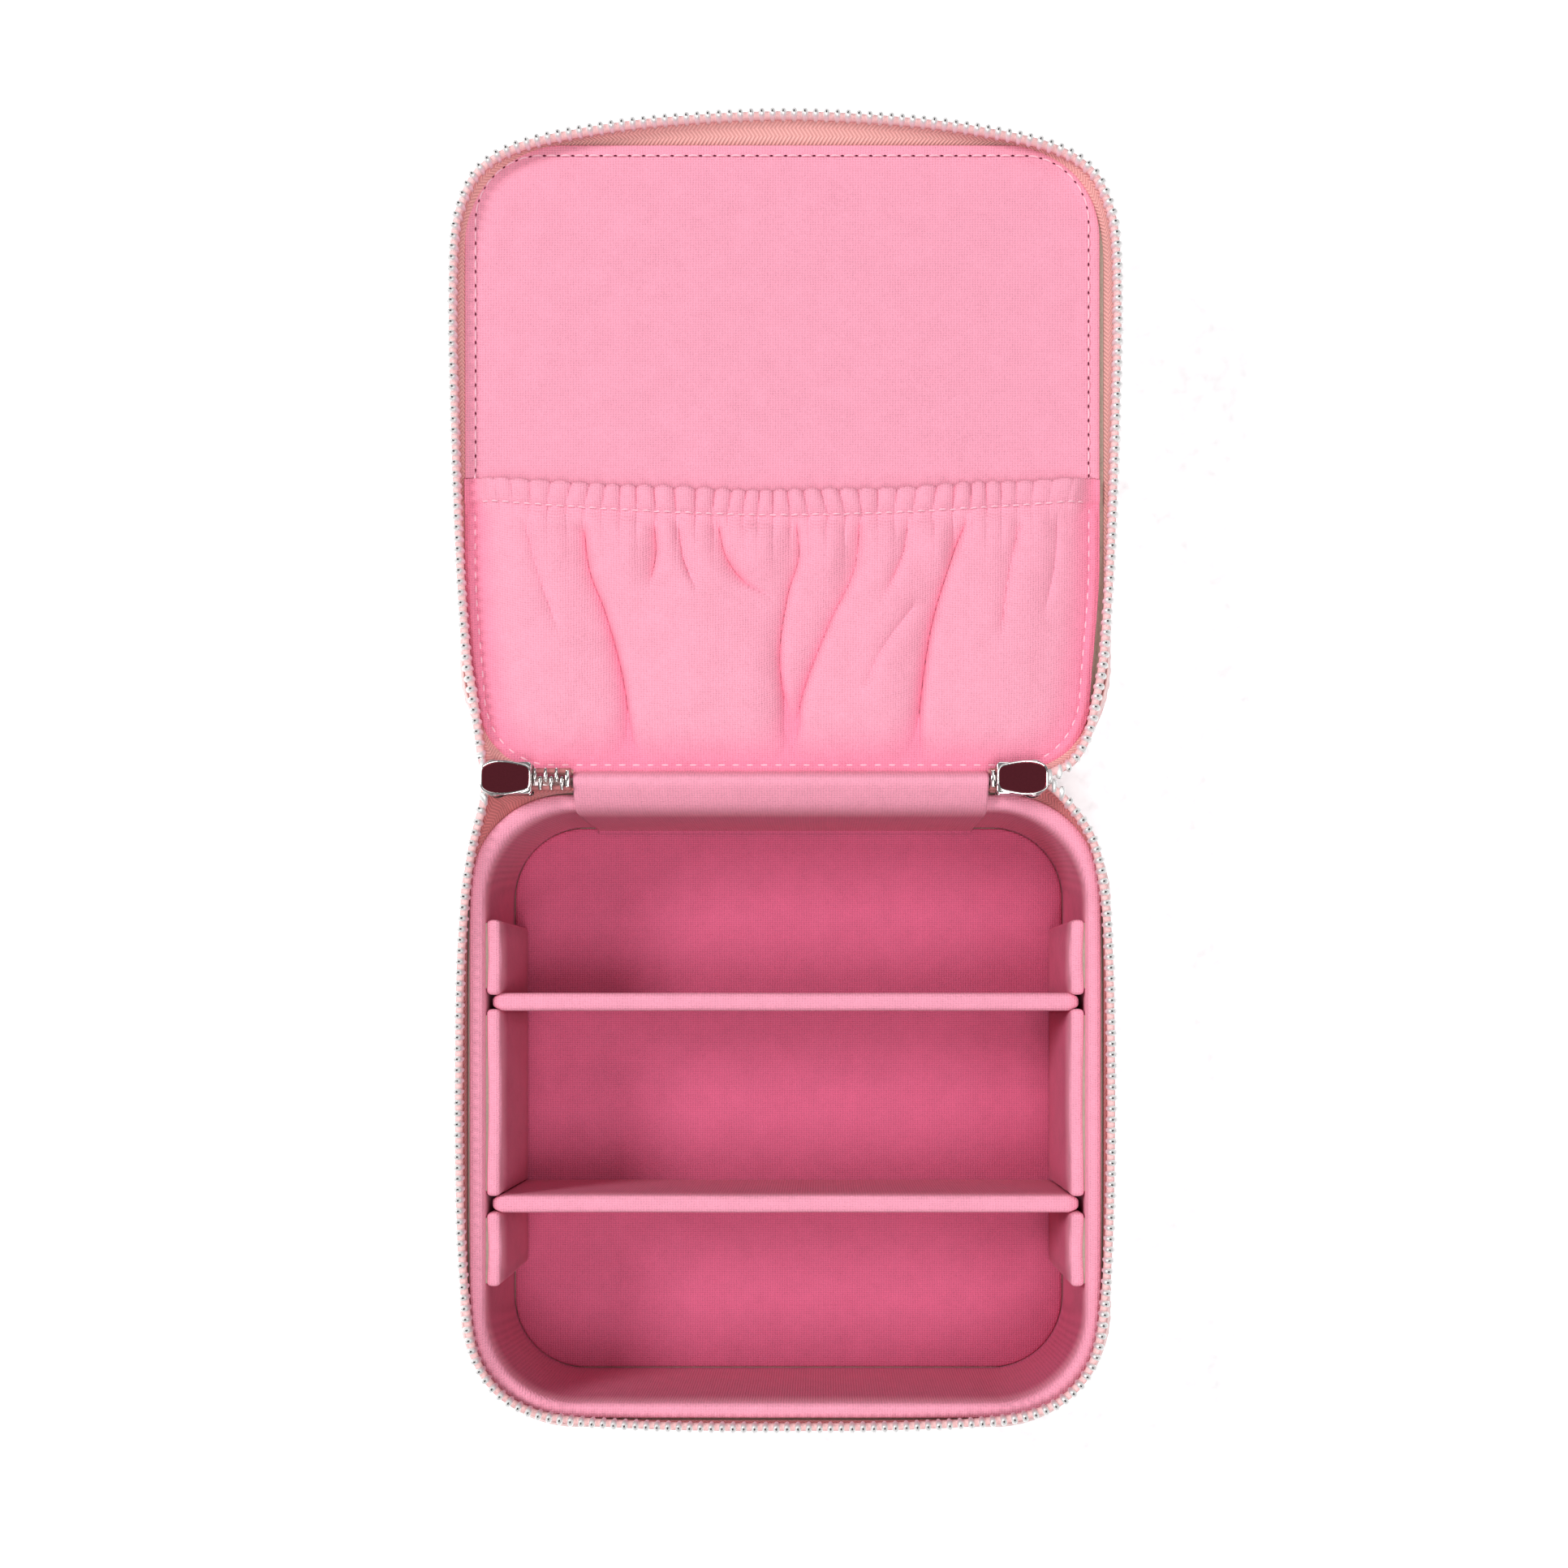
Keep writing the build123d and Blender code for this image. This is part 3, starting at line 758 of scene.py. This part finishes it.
def rim_stitching(half):
    """Seam that holds the zip tape to the leather, just under the rim."""
    loop = shell_loop(-0.28, half)
    line = at_height(loop, RIM - 3.0)
    outward = at_height(normals_of(loop, closed=True), 0.0)
    to_hinge = (HINGE_Y - line[:, 1]) * (1 if half == "tray" else -1)
    behind = to_hinge < HINGE_Y - SHELL_HALF_Y + 0.5
    order = np.roll(np.arange(len(loop)), -int(np.argmax(behind)))
    order = order[~behind[order]]
    seam = stitch_row(f"{half}_rim_stitching", line[order], half, STITCH_PITCH, 0.22,
                      PLAIN_THREAD, lift=outward[order])


def hinge_strip():
    """Leather strip up the tray's back wall, over the fold and down the lid's back wall."""
    half_gap = 0.33
    climb = (30.2, 36, 42, 46.2)
    section = [(-half_gap, z) for z in climb]
    for turn in np.radians((25, 60, 90, 120, 155)):
        section.append((-half_gap * math.cos(turn), 46.9 + 0.45 * math.sin(turn)))
    section += [(half_gap, z) for z in climb[::-1]]
    xs = np.linspace(STRIP_LEFT, STRIP_RIGHT, 90)
    rows = [at_height(at_height(xs, HINGE_Y + y), z) for y, z in section]
    strip = thickened(row_sheet("hinge_strip", rows, LEATHER), 0.45, offset=0.0)
    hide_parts("hinge_strip_tray", "hinge_strip_lid")
    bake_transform(strip)


# --- tray lining ---


def cloth_noise(points, size, seed):
    """Smooth noise from -1 to 1 at each point."""
    return np.array([noise.noise(Vector(p) / size + Vector((seed, 0, 0))) for p in points])


def lip_profile():
    """(inset, height, corner radius) from the outside of the rolled lip to the foot of the wall."""
    return [
        (3.0, 38.0, None), (2.45, 40.5, None), (2.2, 41.8, 23.2), (2.3, 42.5, 22.6), (2.75, 43.0, 22.2),
        (3.5, 43.22, 21.6), (4.4, 43.2, 21.0), (5.1, 42.95, 20.8), (5.6, 42.4, 20.8), (5.85, 41.5, 20.9),
        (5.8, 40.0, None), (5.6, 36.0, None), (5.4, 26.0, 21.0), (5.3, 14.0, 20.0), (5.3, 6.0, 19.0),
        (5.35, 3.4, 18.5), (5.6, 2.9, 18.5),
    ]


def wall_lining():
    """The tray's cloth lining, from its rolled lip down to the floor."""
    layers = [(shell_loop(inset, "tray", 600, corner), z) for inset, z, corner in lip_profile()]
    points, faces = stacked(layers)
    strength = np.interp(points[:, 2], (3.0, 20.0, 41.0), (0.0, 0.35, 0.1))
    ripple = cloth_noise(points * (1, 1, 0.5), 11.0, 3.0) * strength
    rows = points.reshape(len(layers), -1, 3)
    for row, moves in zip(rows, ripple.reshape(len(layers), -1)):
        row[:, :2] += normals_of(row, closed=True) * moves[:, None] * 0.4
    lining = mesh_object("tray_wall_lining", points, faces, VELVET)
    lining = thickened(lining, 0.6)
    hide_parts("tray_wall_liner")
    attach(lining, "tray")


def floor_lining():
    """Cloth-covered card, its edge tucked down against the wall."""
    section = [(5.75, 2.75), (5.8, 3.0), (6.1, 3.2), (6.7, 3.3), (8.0, 3.32), (10.0, 3.3)]
    layers = [
        (shell_loop(inset, "tray", corner=18.0 - (inset - 5.75) * 0.6), z) for inset, z in section
    ]
    points, faces = capped(*stacked(layers), count=LOOP_COUNT, rings=40)
    on_top = np.clip((points[:, 2] - 3.0) / 0.3, 0, 1)
    points[:, 2] += 0.05 * cloth_noise(points, 23.0, 8.0) * on_top
    floor = mesh_object("tray_floor_lining_cloth", points, faces, VELVET)
    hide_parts("tray_floor_lining")
    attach(floor, "tray")


# --- soft blocks ---

SWELL_FRAMES = 12


def soft_block(low, high, edge, step):
    """A closed box with rounded edges and an even grid of small quads."""
    low, high = np.array(low, float), np.array(high, float)
    counts = np.maximum(2, np.round((high - low) / step).astype(int)) + 1
    lines = [np.linspace(low[k], high[k], counts[k]) for k in range(3)]
    index, points, faces = {}, [], []

    def corner(i, j, k):
        key = (i, j, k)
        if key not in index:
            index[key] = len(points)
            points.append((lines[0][i], lines[1][j], lines[2][k]))
        return index[key]

    for axis in range(3):
        first, second = (axis + 1) % 3, (axis + 2) % 3
        for end in (0, counts[axis] - 1):
            for a in range(counts[first] - 1):
                for b in range(counts[second] - 1):
                    quad = []
                    for da, db in ((0, 0), (1, 0), (1, 1), (0, 1)):
                        place = [0, 0, 0]
                        place[axis], place[first], place[second] = end, a + da, b + db
                        quad.append(corner(*place))
                    faces.append(tuple(quad if end else quad[::-1]))
    points = np.array(points)
    inner = np.clip(points, low + edge, high - edge)
    offset = points - inner
    length = np.linalg.norm(offset, axis=1)
    far = length > edge
    points[far] = inner[far] + offset[far] / length[far][:, None] * edge
    return points, faces


def swollen(obj, cap):
    """Inflate a closed cloth form with the cloth simulation, moving no point further than cap."""
    before = np.array([v.co for v in obj.data.vertices])
    modifier = obj.modifiers.new("cloth", "CLOTH")
    settings = modifier.settings
    settings.quality = 6
    settings.mass = 0.2
    settings.use_pressure = True
    settings.uniform_pressure_force = 0.6
    settings.tension_stiffness = settings.compression_stiffness = 25
    settings.bending_stiffness = 2.0
    settings.effector_weights.gravity = 0
    modifier.point_cache.frame_start = 1
    modifier.point_cache.frame_end = SWELL_FRAMES
    scene = bpy.context.scene
    for number in range(1, SWELL_FRAMES + 1):
        scene.frame_set(number)
    apply_modifiers(obj)
    scene.frame_set(1)
    after = np.array([v.co for v in obj.data.vertices])
    move = after - before
    length = np.linalg.norm(move, axis=1)[:, None]
    move *= np.minimum(1.0, cap * MM / np.maximum(length, 1e-12))
    obj.data.vertices.foreach_set("co", (before + move).ravel())
    obj.data.update()


# --- dividers and pads ---

DIVIDERS = {"divider_rear": 24.4, "divider_front": -23.0}
DIVIDER_HALF_LENGTH = 68.9
DIVIDER_HALF_THICKNESS = 2.1
PAD_SPANS = {"rear": (26.05, 43.6), "middle": (-21.1, 22.7), "front": (-42.2, -24.9)}
PAD_FRONT_X = 66.7
PAD_BACK_X = 69.9
PAD_FOOT = 3.45
PAD_TOP = 41.9


def divider(name, y):
    """Padded cloth wrapped over a board, pinched where its ends slip between the pads."""
    low, high = frame_box(f"{name}_cover")
    foot = (-DIVIDER_HALF_LENGTH, -DIVIDER_HALF_THICKNESS, low[2] + 0.1)
    top = (DIVIDER_HALF_LENGTH, DIVIDER_HALF_THICKNESS, high[2] + 0.1)
    points, faces = soft_block(foot, top, 1.3, 0.7)
    x, across, z = points.T
    end = DIVIDER_HALF_LENGTH - np.abs(x)
    pinch = 0.70 + 0.30 * smoothstep((end - 0.2) / 2.4)
    wave = 0.12 * cloth_noise(points * (0.5, 0.0, 0.3), 13.0, y)
    seam = 0.10 * bump(z, high[2] - 3.2, 0.5)
    points[:, 1] = y + across * (pinch - seam) + wave * smoothstep(end / 8)
    points[:, 2] -= 0.5 * smoothstep(1 - end / 2.4) * (z > 20) + 0.06 * np.sin(x / 7 + y)
    cloth = mesh_object(f"{name}_cloth", points, faces, VELVET)
    swollen(cloth, 0.16)
    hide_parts(f"{name}_cover", f"{name}_board")
    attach(cloth, name)


def wall_pad(side, place):
    """A cloth-wrapped card that leans on the side wall and keeps a divider's groove."""
    start, end = PAD_SPANS[place]
    sign = 1 if side == "right" else -1
    points, faces = soft_block((PAD_FRONT_X, start, PAD_FOOT), (PAD_BACK_X, end, PAD_TOP), 1.15, 0.6)
    x, y, z = points.T
    from_sides = np.clip(np.minimum(y - start, end - y) / 5, 0, 1)
    middle = from_sides * np.clip(np.minimum(z - 3, 42 - z) / 7, 0, 1)
    face = np.clip((PAD_BACK_X - x) / (PAD_BACK_X - PAD_FRONT_X), 0, 1)
    seed = start + 5 * sign
    ripple = cloth_noise(points * (0.3, 1, 0.45), 6.0, seed)
    points[:, 0] -= face * (0.30 * smoothstep(middle) + 0.14 * ripple * middle)
    points[:, 1] += 0.14 * cloth_noise(points * (0.6, 0.1, 1), 5.0, seed + 2) * face
    points[:, 2] += 0.16 * cloth_noise(points * (1, 1, 0.1), 7.0, seed + 4) * (z > 38)
    points[:, 0] -= 0.35 * smoothstep((z - 30) / 12) * bump(y, (start + end) / 2, (end - start) / 2)
    points[:, 0] = np.minimum(points[:, 0], PAD_BACK_X) * sign
    if sign < 0:
        points, faces = flipped(points, faces)
    pad = mesh_object(f"pad_{side}_{place}", points, faces, VELVET)
    swollen(pad, 0.14)
    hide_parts(f"wall_pad_{side}_{place}")
    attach(pad, "tray")


# --- lid lining ---

PANEL_HALF_X = 74.0
PANEL_MIDDLE_X = -0.75
PANEL_NEAR_Y = 76.9
PANEL_FAR_Y = 224.1
PANEL_MIDDLE_Y = (PANEL_NEAR_Y + PANEL_FAR_Y) / 2
PANEL_HALF_Y = (PANEL_FAR_Y - PANEL_NEAR_Y) / 2
PANEL_NEAR_CORNER = 18.5
PANEL_FAR_CORNER = 21.5
STITCH_INSET = 2.6
STITCH_FAR_CORNER = 18.0
PANEL_FACE = 42.55
PANEL_COUNT = 720


def panel_distance(x, y):
    """How far a point lies inside the panel's outline."""
    corner = np.where(y < PANEL_MIDDLE_Y, PANEL_NEAR_CORNER, PANEL_FAR_CORNER)
    over_x = np.abs(x - PANEL_MIDDLE_X) - (PANEL_HALF_X - corner)
    over_y = np.abs(y - PANEL_MIDDLE_Y) - (PANEL_HALF_Y - corner)
    outside = np.hypot(np.maximum(over_x, 0), np.maximum(over_y, 0))
    return corner - outside - np.minimum(np.maximum(over_x, over_y), 0)


def panel_loop(inset, count=PANEL_COUNT, far_corner=PANEL_FAR_CORNER):
    """The panel's outline moved inwards, anticlockwise."""
    half_size = (PANEL_HALF_X - inset, PANEL_HALF_Y - inset)
    corners = [max(2.0, corner - inset) for corner in (far_corner, PANEL_NEAR_CORNER)]
    return rounded_loop(half_size, (PANEL_MIDDLE_X, PANEL_MIDDLE_Y), corners, count, 33)


def tapered(points):
    """The lid's lining narrows towards the hinge: squeeze points towards its middle line."""
    points = np.array(points, float)
    share = 1 - 0.034 * smoothstep((128 - points[:, 1]) / 42)
    points[:, 0] = PANEL_MIDDLE_X + (points[:, 0] - PANEL_MIDDLE_X) * share
    return points


def lining_panel():
    """Cloth over the lid's card: rolled edge, a groove under the seam, faint puckers."""
    section = [
        (1.3, 41.7), (0.5, 41.9), (0.1, 42.15), (0.0, 42.3), (0.15, 42.48), (0.6, 42.6), (1.4, 42.62),
        (2.1, 42.5), (2.6, 42.36), (3.1, 42.48), (4.0, 42.58), (5.5, 42.6), (8.0, 42.6),
    ]
    layers = [(panel_loop(inset), height) for inset, height in section]
    points, faces = capped(*stacked(layers), count=PANEL_COUNT, rings=40)
    inside = panel_distance(points[:, 0], points[:, 1])
    pucker = 0.10 * cloth_noise(points, 5.0, 2.0) * bump(inside, 4.0, 4.0)
    points[:, 2] += pucker + 0.16 * cloth_noise(points, 30.0, 5.0) * smoothstep((inside - 4) / 12)
    panel = mesh_object("lid_lining_cloth", tapered(points), faces, VELVET)
    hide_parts("lid_lining_panel")
    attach(panel, "lid")


# --- lid pocket ---

POCKET_EDGE_END_Y = 146.0
POCKET_EDGE_SAG = 3.8
BAND_DEPTH = 5.6
POCKET_COLUMNS = 560
POCKET_ROWS = 150
# Creases seen in the pocket: knots, depth, reach on the left, reach on the right.
VALLEYS = [
    ([(-46.5, 134), (-45.1, 124), (-41.7, 114), (-38.3, 98), (-36.4, 76)], 3.0, 7.0, 2.0),
    ([(-30.1, 134), (-29.8, 128), (-31.4, 120)], 2.2, 4.0, 1.7),
    ([(-24.5, 134), (-23.6, 127), (-20.5, 119)], 1.9, 2.0, 4.0),
    ([(-15.4, 135), (-13.6, 127.6), (-9.2, 121.6), (-3.2, 118.0)], 2.6, 4.5, 1.9),
    ([(2.8, 135), (3.2, 127), (0.6, 118), (-1.2, 104), (0.6, 90), (2.0, 76)], 2.4, 4.5, 2.0),
    ([(17.4, 135), (16.0, 124), (10.5, 112), (4.4, 96), (2.6, 84)], 2.4, 6.5, 2.2),
    ([(41.8, 135), (38.5, 126.5), (34.6, 112), (32.6, 94), (31.5, 76)], 3.0, 6.0, 2.0),
    ([(-60.0, 135), (-57.5, 125), (-53.0, 110)], 1.3, 4.0, 2.8),
    ([(28.5, 135), (27.0, 127), (22.5, 117)], 1.7, 3.4, 2.2),
    ([(30.0, 116), (23.0, 106), (18.5, 96)], 1.1, 3.4, 2.6),
    ([(54.5, 135), (52.0, 124), (50.5, 108)], 1.5, 4.2, 2.2),
    ([(63.0, 136), (62.5, 126), (60.5, 114)], 1.1, 3.0, 2.2),
]
# Swollen places between them: centre x, centre y, half width, half height, rise.
PUFFS = [
    (-36.0, 127.0, 6.0, 12.0, 0.9), (-20.0, 110.0, 13.0, 28.0, 1.3), (-6.0, 128.0, 7.0, 8.0, 1.3),
    (10.0, 127.0, 6.0, 9.0, 1.1), (24.0, 110.0, 10.0, 30.0, 1.0), (50.0, 104.0, 13.0, 28.0, 0.8),
    (-56.0, 104.0, 12.0, 28.0, 0.7), (-8.0, 98.0, 8.0, 22.0, 0.8), (35.5, 128.0, 5.0, 9.0, 0.9),
]


def mouth_y(x):
    """The y of the pocket's top edge, which sags in the middle."""
    return POCKET_EDGE_END_Y - POCKET_EDGE_SAG * (1 - np.clip(np.abs(x) / 72, 0, 1) ** 1.7)


def ruffle_phase(x):
    """A phase that runs unevenly along the band, for ruffles of differing widths."""
    drift = 1.1 * np.sin(x / 9.1 + 0.6) + 0.8 * np.sin(x / 4.7 + 2.0) + 0.5 * np.sin(x / 17.0)
    return 2 * np.pi * x / 4.0 + drift


def ruffles(x):
    """Rounded ridges with narrow creases between them, weaker near the ends."""
    ridge = np.abs(np.cos(ruffle_phase(x) / 2)) ** 0.55
    from_middle = np.abs(x)
    strength = (0.45 + 0.55 * smoothstep((66 - from_middle) / 26)) * smoothstep((72 - from_middle) / 6)
    return ridge * strength * (0.85 + 0.15 * np.sin(x / 5.3))


def band_ends(x):
    """1 along the band, falling to 0 where its ends are sewn down."""
    return smoothstep((PANEL_HALF_X - 1.0 - np.abs(x - PANEL_MIDDLE_X)) / 7)


def valley_depth(x, y, knots, depth, left, right):
    """Lowering of the cloth round a crease: short on one side, long on the other."""
    line = spline(knots, steps=16)
    line = line[np.argsort(line[:, 1])]
    side = x - np.interp(y, line[:, 1], line[:, 0])
    reach = np.where(side < 0, left, right)
    low, high = line[0, 1], line[-1, 1]
    upper = smoothstep((high - y + 3) / 5)
    if low < 80:
        fade = upper * (0.75 + 0.25 * smoothstep((y - 78) / 26))
    else:
        fade = smoothstep((y - low + 2) / 8) * upper
    return depth * fade * np.exp(-np.abs(side) / reach * 1.9)


def pocket_height(x, y):
    """Height of the pocket's face over the lid, from its side seams to the casing seam."""
    inside = panel_distance(x, y)
    seam_y = mouth_y(x) - BAND_DEPTH
    up = np.clip((y - PANEL_NEAR_Y) / (seam_y - PANEL_NEAR_Y), 0, 1)
    swell = smoothstep((inside - STITCH_INSET) / 15) ** 0.6
    height = PANEL_FACE + 0.25 + swell * (2.0 + 2.1 * up)
    for knots, depth, left, right in VALLEYS:
        height -= valley_depth(x, y, knots, depth, left, right) * (0.5 + 0.5 * swell)
    for px, py, half_x, half_y, rise in PUFFS:
        height += rise * smoothstep(1 - np.hypot((x - px) / half_x, (y - py) / half_y)) * swell
    near_band = np.exp(-(seam_y - y) / 5.0)
    height += (ruffles(x) - 0.6) * 1.5 * near_band * swell
    edge_flat = smoothstep((inside - 0.2) / 1.2)
    height = np.maximum(height, PANEL_FACE + 0.22)
    groove = 0.22 * bump(inside, STITCH_INSET, 0.9)
    return height * edge_flat + (PANEL_FACE - 0.25) * (1 - edge_flat) - groove


def pocket_rows(x):
    """Rows of (y, z) over the band: inside the casing, round its top edge, down to its seam."""
    ends = band_ends(x)
    seam = mouth_y(x) - BAND_DEPTH
    base = PANEL_FACE + 0.3
    rows = []
    section = (
        (0.0, 2.5, 0.0), (0.45, 2.4, 0.0), (0.85, 2.6, 0.0), (0.97, 3.1, 0.0), (1.0, 3.0, 0.3),
        (0.985, 3.5, 0.7), (0.93, 3.85, 1.1), (0.8, 4.0, 1.4), (0.6, 4.0, 1.45), (0.4, 3.9, 1.4),
        (0.22, 3.65, 1.2), (0.08, 3.3, 0.9),
    )
    for share, z, relief in section:
        slant = (share - 0.3) * (1.1 * np.sin(x / 6.3) + 0.7 * np.sin(x / 14.0 + 1.0))
        ridge = (ruffles(x + slant) - 0.6) * ends
        y = seam + (BAND_DEPTH + 1.1 * ridge) * share
        rows.append((y, base + z * ends + relief * ridge))
    return rows, seam, rows[-1][1]


def pocket():
    """Cloth gathered on elastic at its mouth and sewn into the panel's seam on three sides."""
    half_x = PANEL_HALF_X - 0.05
    x = np.linspace(PANEL_MIDDLE_X - half_x, PANEL_MIDDLE_X + half_x, POCKET_COLUMNS)
    rows, seam, front = pocket_rows(x)
    points = [np.column_stack([x, y, z]) for y, z in rows]
    near = panel_edge_y(x)
    joint = pocket_height(x, seam)
    for share in np.linspace(0, 1, POCKET_ROWS):
        y = seam + (near - seam) * share
        z = pocket_height(x, y) + (front - 0.5 - joint) * smoothstep(1 - share * 14)
        points.append(np.column_stack([x, y, z]))
    points.append(points[-1] + (0, 0.5, -0.5))
    faces = grid_faces(len(points), POCKET_COLUMNS)
    points = np.vstack(points)
    points[:, 2] += 0.05 * cloth_noise(points, 2.6, 11.0)
    cloth = mesh_object("lid_pocket_cloth", tapered(points), faces, POCKET_VELVET)
    turned_over(cloth)
    cloth = thickened(cloth, 0.35)
    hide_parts("lid_pocket")
    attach(cloth, "lid")


def panel_edge_y(x):
    """The y of the panel's near edge, round its corners."""
    over = np.abs(x - PANEL_MIDDLE_X) - (PANEL_HALF_X - PANEL_NEAR_CORNER)
    over = np.clip(over, 0, PANEL_NEAR_CORNER)
    return PANEL_NEAR_Y + PANEL_NEAR_CORNER - np.sqrt(PANEL_NEAR_CORNER ** 2 - over ** 2)


def pocket_elastic():
    """The elastic inside the casing, waving with the ruffles."""
    x = np.linspace(-62.0, 61.0, 180)
    middle = mouth_y(x) - BAND_DEPTH / 2
    low = PANEL_FACE + 0.6
    z = low + (45.75 + 0.10 * np.sin(ruffle_phase(x)) - low) * band_ends(x)
    rows = [np.column_stack([x, middle + across, z]) for across in np.linspace(-1.9, 1.9, 7)]
    band = thickened(row_sheet("lid_pocket_elastic_band", rows, ELASTIC), 0.4, offset=0.0)
    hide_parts("lid_pocket_elastic")
    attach(band, "lid")


def surface_height(x, y):
    """Height of the visible cloth in the lid: the pocket, its band or the bare panel."""
    seam = mouth_y(x) - BAND_DEPTH
    return np.where(y < seam, pocket_height(x, y), PANEL_FACE - 0.1)


def lid_seams():
    """Thread round the panel, and along the pocket's casing."""
    loop = panel_loop(STITCH_INSET, 960, STITCH_FAR_CORNER)
    mouth = mouth_y(loop[:, 0])
    band = (loop[:, 1] > mouth - BAND_DEPTH) & (loop[:, 1] < mouth + 1.0)
    height = surface_height(loop[:, 0], loop[:, 1]) + 0.14 + 0.5 * band
    line = tapered(np.column_stack([loop, height]))
    seam = stitch_row("lid_panel_stitches", line, "lid", STITCH_PITCH, 0.24, THREAD,
                      gap=0.26, closed=True)
    holes = needle_holes("lid_panel_needle_holes", line - (0, 0, 0.04))
    x = np.linspace(-70.5, 69.5, 400)
    _, seam_y, front = pocket_rows(x)
    casing_line = tapered(np.column_stack([x, seam_y + 0.1, front + 0.1]))
    casing = stitch_row("lid_pocket_stitches", casing_line, "lid", 2.6, 0.2, THREAD, gap=0.3)


def needle_holes(name, line):
    """A dimple where each thread goes down, dark as a painted shadow in the hole."""
    length = arc_lengths(np.vstack([line, line[:1]]))[-1]
    spots = resampled(line, round(length / STITCH_PITCH), closed=True)
    along = unit((np.roll(spots, -1, axis=0) - spots) * (1, 1, 0))
    up = np.tile((0.0, 0.0, 1.0), (len(spots), 1))
    section = [(-0.1, 0.25, 0.12), (0.0, 0.42, 0.2), (0.1, 0.36, 0.17), (0.14, 0.15, 0.07)]
    dimples = placed_along(lofted(section, power=1.0), spots, along, np.cross(up, along), up)
    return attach(mesh_object(name, *dimples, SHADOW_HOLE), "lid")


# --- hinge flap ---


def hinge_flap():
    """One cloth flap from under the lid's panel, over the fold and the lip, down to the floor."""
    section = [
        (79.6, 41.9), (78.6, 42.0), (77.9, 42.4), (77.4, 43.6), (77.0, 45.2), (76.5, 46.7), (75.8, 47.5),
        (74.9, 47.6), (73.8, 47.1), (72.5, 46.2), (71.2, 45.2), (70.1, 44.1), (69.3, 42.7), (68.9, 41.0),
        (68.75, 38.0), (68.7, 32.0), (68.75, 24.0), (68.85, 16.0), (68.95, 9.0), (68.9, 5.4),
        (68.6, 3.9), (67.7, 3.75),
    ]
    line = resampled(spline(section, steps=8), 90)
    x = np.linspace(STRIP_LEFT, STRIP_RIGHT, 150)
    rows = []
    for y, z in line:
        wave = cloth_noise(at_height(at_height(x, y), z * 0.6), 12.0, 6.0)
        free = bump(z, 22.0, 18.0)
        rows.append(np.column_stack([x, y - 0.22 * free * (wave + 0.5), z + 0.08 * wave]))
    flap = row_sheet("hinge_flap", rows, VELVET)
    turned_over(flap)
    flap = thickened(flap, 0.4)
    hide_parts("hinge_flap_tray", "hinge_flap_lid")
    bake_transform(flap)


# --- CAD nodes that stay ---

KEPT_MATERIALS = {
    "slider": NICKEL, "pull": NICKEL, "board": GREYBOARD, "card": GREYBOARD,
    "foam": FOAM, "padding": FOAM,
}


def finish_kept_nodes():
    """Materials for the CAD nodes that no visual piece replaces."""
    for name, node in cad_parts.items():
        for word, material in KEPT_MATERIALS.items():
            if word in name:
                for material_slot in node.material_slots:
                    material_slot.material = material


# --- studio ---

LIGHT_AIM = Vector((0.0, 0.08, 0.0))
# Place in metres, diameter in metres and power in watts.
LIGHTS = {
    "key": ((-0.95, 0.40, 1.05), 0.45, 10.2),
    "top": ((0.05, -0.38, 1.40), 0.6, 8.2),
    "side": ((0.75, 0.00, 1.25), 0.7, 3.2),
    "back": ((0.10, 0.85, 1.20), 0.7, 2.4),
    "front": ((0.00, -0.75, 1.20), 0.7, 2.0),
}


def floor():
    """White paper under the case, with a faint glow of its own."""
    reach = 6000
    corners = ((-reach, -reach), (reach, -reach), (reach, reach), (-reach, reach))
    points = at_height(np.array(corners), -0.05)
    paper = fibrous("studio_paper", (0.95, 0.94, 0.955), 4.0, 0.02)
    inputs = paper.node_tree.nodes["Principled BSDF"].inputs
    inputs["Emission Color"].default_value = (1.0, 1.0, 1.0, 1.0)
    inputs["Emission Strength"].default_value = 0.22
    mesh_object("studio_floor", points, [(0, 1, 2, 3)], paper)


def area_light(name, place, size, watts):
    """A round soft lamp that faces the case."""
    light = bpy.data.lights.new(name, "AREA")
    light.shape = "DISK"
    light.size = size
    light.energy = watts
    obj = bpy.data.objects.new(name, light)
    obj.location = place
    obj.rotation_euler = (LIGHT_AIM - Vector(place)).to_track_quat("-Z", "Y").to_euler()
    bpy.context.scene.collection.objects.link(obj)


def studio_light():
    """Five soft lamps in a dim, even world."""
    scene = bpy.context.scene
    scene.view_settings.view_transform = "Standard"
    world = bpy.data.worlds.new("studio")
    world.use_nodes = True
    background = world.node_tree.nodes["Background"]
    background.inputs["Color"].default_value = (1.0, 0.985, 1.0, 1.0)
    background.inputs["Strength"].default_value = 0.20
    scene.world = world
    for name, (place, size, watts) in LIGHTS.items():
        area_light(name, place, size, watts)


def camera():
    """Straight above the tray's rear part, where the photograph's vanishing point lies."""
    data = bpy.data.cameras.new("camera")
    data.lens = 38.0
    data.sensor_width = 36.0
    data.shift_x = -0.0238
    data.shift_y = 0.1454
    data.clip_start = 0.01
    obj = bpy.data.objects.new("camera", data)
    obj.location = (0.0084, 0.0220, 0.4282)
    bpy.context.scene.collection.objects.link(obj)
    bpy.context.scene.camera = obj


# --- making ---

camera()
floor()
studio_light()
finish_kept_nodes()
for half in ("tray", "lid"):
    leather_wall(half)
    leather_face(half)
    leather_piping(half)
    rim_stitching(half)
    zipper_tape(half)
    open_row(half)
hinge_strip()
wall_lining()
floor_lining()
for name, y in DIVIDERS.items():
    divider(name, y)
for side in ("left", "right"):
    for place in PAD_SPANS:
        wall_pad(side, place)
    closed_chain(side)
    slider_plate(side)
lining_panel()
pocket()
pocket_elastic()
lid_seams()
hinge_flap()
